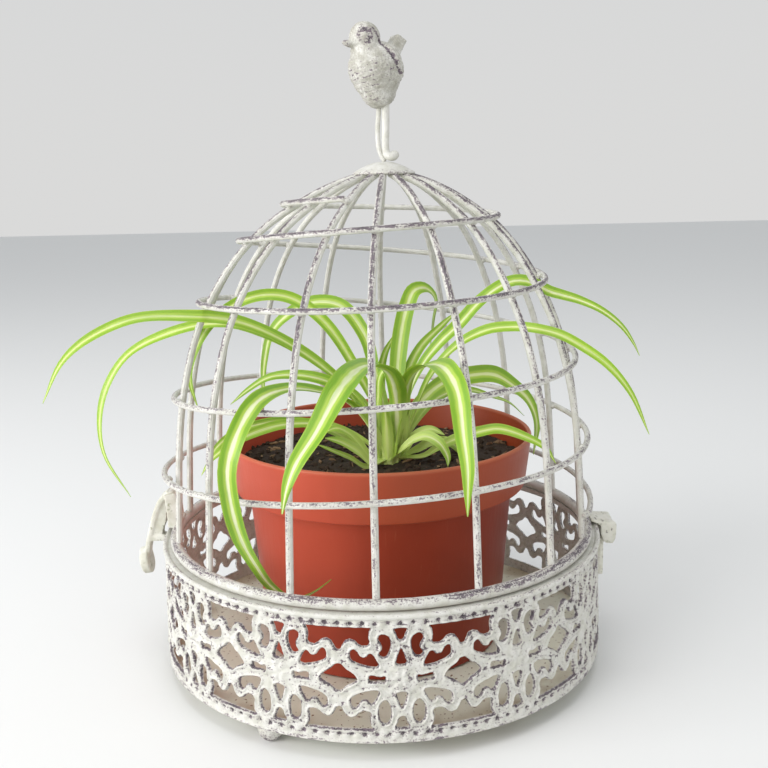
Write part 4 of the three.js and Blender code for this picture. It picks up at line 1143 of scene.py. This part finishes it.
def strip_piece(name, parts, body, node, wear):
    """Strips melted to one skin with thick uneven paint, worn where wear is high."""
    points, faces = melted(name + "_rough", parts, STRIP_VOXEL, 2)
    uneven = np.array([noise.noise(point * 0.7) for point in points])
    points = points + 0.08 * uneven[:, None] * np.array((1, 0.3, 1))
    rub = wear + 0.3 * (uneven > 0.25)
    piece = cage_piece(name, points, faces, points[:, (1, 0, 2)], rub, body, node, sharp=60)
    piece.data.materials[0] = STRIP_PAINT


def strip_paint():
    """The cage's cream paint with rust streaks, and dark olive specks scattered over it as painted shade for
    the greenish shade in corners.
    """
    made, tree, shader = new_material("hinge_and_latch_paint")
    brush = attribute(tree, "brush", "Vector")
    streaks = speckle(tree, stretch(tree, brush, (400, 900, 900)), 1, 5, 0.62)
    patches = speckle(tree, brush, 190, 3)
    worn = weighted(tree, (streaks, 0.6), (patches, 0.4), (attribute(tree, "rub"), 0.2))
    cream = tint(tree, fade(tree, patches, 0.35, 0.7), (0.72, 0.71, 0.64), (0.58, 0.57, 0.47))
    # Painted shade: dark olive specks scattered at random, for the greenish shade in the hinge's and latch's
    # corners.
    cream = tint(tree, fade(tree, speckle(tree, brush, 330, 3), 0.6, 0.72), cream, (0.2, 0.22, 0.1), 0.7)
    colour = tint(tree, fade(tree, worn, 0.63, 0.69), cream, (0.1, 0.075, 0.07), 0.8)
    dress(tree, shader, colour, 0.5, streaks, 0.25, 0.0003)
    return made


def hinge():
    half, centre, place = HINGE["half"], HINGE["centre"], (HINGE["x"], HINGE["z"])
    knuckle = arc(*place, HINGE["roll"], 0, -285, 26)
    strap = [bent_strip(STRAP_ROUTE[:5], -half, half, STRIP)]
    for low, high in ((-half, -centre - HINGE["gap"]), (centre + HINGE["gap"], half)):
        strap.append(bent_strip(STRAP_ROUTE[4:] + knuckle, low, high, STRIP))
        edge = math.copysign(half, low + high)
        strap.append(upright_plate(CHEEK, edge - CHEEK_THICK / 2, edge + CHEEK_THICK / 2))
    strip_piece("hinge_strap_rolled", strap, "lid", "hinge_strap", 0.3)
    eye = arc(*place, LEAF_STRIP["eye"], 220, 500, 26)
    leaf_strip = [bent_strip(LEAF_ROUTE, -LEAF_STRIP["half"], LEAF_STRIP["half"], LEAF_STRIP["thick"]),
                  bent_strip(LEAF_ROUTE[2:] + eye, -centre, centre, LEAF_STRIP["eye_thick"])]
    strip_piece("hinge_leaf_rolled", leaf_strip, "base", "hinge_leaf", 0.2)
    pin = [roller(place, HINGE["pin"], PIN_INSET - half, half - PIN_INSET, 0.4)]
    strip_piece("hinge_pin_rod", pin, "base", "hinge_pin", 0.5)


STRIP_PAINT = strip_paint()
hinge()

# Latch. The real one is a strip bracket with two ears on the lid's ring, and a lever on a pin
# between them: a bowed arm with a web under it, a nose that catches the tray's edge and a round
# thumb paddle. Its strips and plates are melted together and painted like the hinge.
LATCH = {"x": -89.5, "z": 63.4, "pin": 1.25, "eye": 2.6, "ear": 4.75, "inside": 3.8, "pin_half": 5.4}
EAR = {"thick": 1.3, "deep": 5.2}
BRACKET_FOOT = ((-87.9, 0, 52.8), (5.2, 10.6, 1.4))
NOSE = ((-96.4, 0, 44.9), (6.2, 5.6, 2.4))
LEVER = {"half": 3, "thick": 2.5, "web_inner": 1.2, "web_outer": 2.3}
EAR_ROUTE = [(-88.9, 50.2), (-88.7, 53), (-88.9, 57), (-89.3, 61), (-89.5, 65.3)]
LEVER_ROUTE = [(-90.6, 65), (-92.7, 63.4), (-95, 60.4), (-96.7, 56.6), (-98.1, 52.5), (-99.3, 48.5),
               (-100.3, 44.6), (-101.2, 40.6), (-101.8, 37)]
LEVER_WEB = [(-92.2, 61.5), (-91.9, 57), (-92.6, 52), (-94.2, 48.5), (-94.6, 44.5), (-99.8, 44.5),
             (-98.1, 52.5), (-96.7, 56.6), (-95, 60.4)]
PADDLE = {"centre": (-102.4, 0, 34.4), "size": (5.9, 5.9, 3.7), "tilt": 80.0}


def latch():
    place, inside, pin_half = (LATCH["x"], LATCH["z"]), LATCH["inside"], LATCH["pin_half"]
    bracket = [roller(place, LATCH["pin"], -pin_half, pin_half), block(*BRACKET_FOOT)]
    for ear in (-LATCH["ear"], LATCH["ear"]):
        bracket.append(bent_strip(EAR_ROUTE, ear - EAR["thick"] / 2, ear + EAR["thick"] / 2, EAR["deep"]))
    strip_piece("latch_bracket_ears", bracket, "lid", "latch_bracket", -0.1)
    disc = solid_turned([(0, -0.5), (0.9, -0.5), (1, -0.4), (1, 0.4), (0.9, 0.5), (0, 0.5)], 40)
    lever = [bent_strip(LEVER_ROUTE, -LEVER["half"], LEVER["half"], LEVER["thick"]),
             roller(place, LATCH["eye"], -inside, inside), block(*NOSE), placed(disc, **PADDLE),
             upright_plate(LEVER_WEB, -LEVER["web_outer"], -LEVER["web_inner"]),
             upright_plate(LEVER_WEB, LEVER["web_inner"], LEVER["web_outer"])]
    strip_piece("latch_lever_arm", lever, "latch", "latch_lever", -0.2)


latch()

# Floor, lights and camera: a pale floor under the feet, soft lights from the front left and the
# left, weak ones from the front right and above, and the photograph's view.
FLOOR = {"half": 4.0, "z": -0.00702}
LIGHTS = {
    "key": ((-1.0, -0.9, 0.9), (0, 0, 0.1), 0.8, 9, (1, 0.985, 0.975)),
    "window": ((-1.3, -0.4, 0.35), (0, 0, 0.08), 0.6, 9, (1, 1, 1)),
    "fill": ((0.5, -1.3, 0.3), (0, 0, 0.06), 0.9, 2.5, (1, 0.985, 0.94)),
    "top": ((0, -0.25, 1.3), (0, 0, 0.05), 0.8, 4, (1, 1, 1)),
}
CAMERA = {"distance": 415.5, "elevation": 11.55, "roll": 1.25, "focal": 987.4, "aim": (2.46, 0, 110.06)}
FRAME_PIXELS = 768
SENSOR = 36.0


def plain_floor():
    mesh = bpy.data.meshes.new("floor")
    half, low = FLOOR["half"], FLOOR["z"]
    corners = [(-half, -half, low), (half, -half, low), (half, half, low), (-half, half, low)]
    mesh.from_pydata(corners, [], [(0, 1, 2, 3)])
    floor = show("floor", mesh)
    made, _, shader = new_material("pale_floor")
    shader.inputs["Base Color"].default_value = (0.8, 0.8, 0.79, 1)
    shader.inputs["Roughness"].default_value = 0.85
    mesh.materials.append(made)


def soft_room():
    """A pale room: as bright as the floor at the horizon, and brighter above."""
    world = bpy.data.worlds.new("soft_room")
    world.use_nodes = True
    tree = world.node_tree
    height = put(tree, "SeparateXYZ", {0: put(tree, "TexCoord", {}).outputs["Generated"]}).outputs["Z"]
    colour = tint(tree, fade(tree, height, 0.0, 0.6), (0.7, 0.7, 0.695), (0.62, 0.64, 0.66))
    tree.links.new(colour, tree.nodes["Background"].inputs["Color"])
    bpy.context.scene.world = world


def soft_light(name, place, aim, size, power, colour):
    """A round light at a place and with a size in metres, turned to its aim, of a power in watts."""
    lamp = bpy.data.lights.new(name, "AREA")
    lamp.shape, lamp.size, lamp.energy, lamp.color = "DISK", size, power, colour
    light = show(name, lamp)
    light.location = place
    light.rotation_euler = (Vector(aim) - Vector(place)).to_track_quat("-Z", "Y").to_euler()


def photo_camera():
    lens = bpy.data.cameras.new("camera")
    lens.sensor_width = SENSOR
    lens.lens = CAMERA["focal"] / FRAME_PIXELS * SENSOR
    lens.clip_start, lens.clip_end = 0.01, 20
    camera = show("camera", lens)
    rise, roll = math.radians(CAMERA["elevation"]), math.radians(CAMERA["roll"])
    back = Vector((0, -math.cos(rise), math.sin(rise)))
    right = Vector((1, 0, 0))
    up = right.cross(-back)
    across = right * math.cos(roll) - up * math.sin(roll)
    above = right * math.sin(roll) + up * math.cos(roll)
    place = Vector(CAMERA["aim"]) + back * CAMERA["distance"]
    axes = Matrix((across, above, back)).transposed()
    camera.matrix_world = Matrix.Translation(place * MM) @ axes.to_4x4()
    bpy.context.scene.camera = camera


plain_floor()
soft_room()
for light_name, light in LIGHTS.items():
    soft_light(light_name, *light)
photo_camera()
bpy.context.scene.view_settings.view_transform = "Standard"
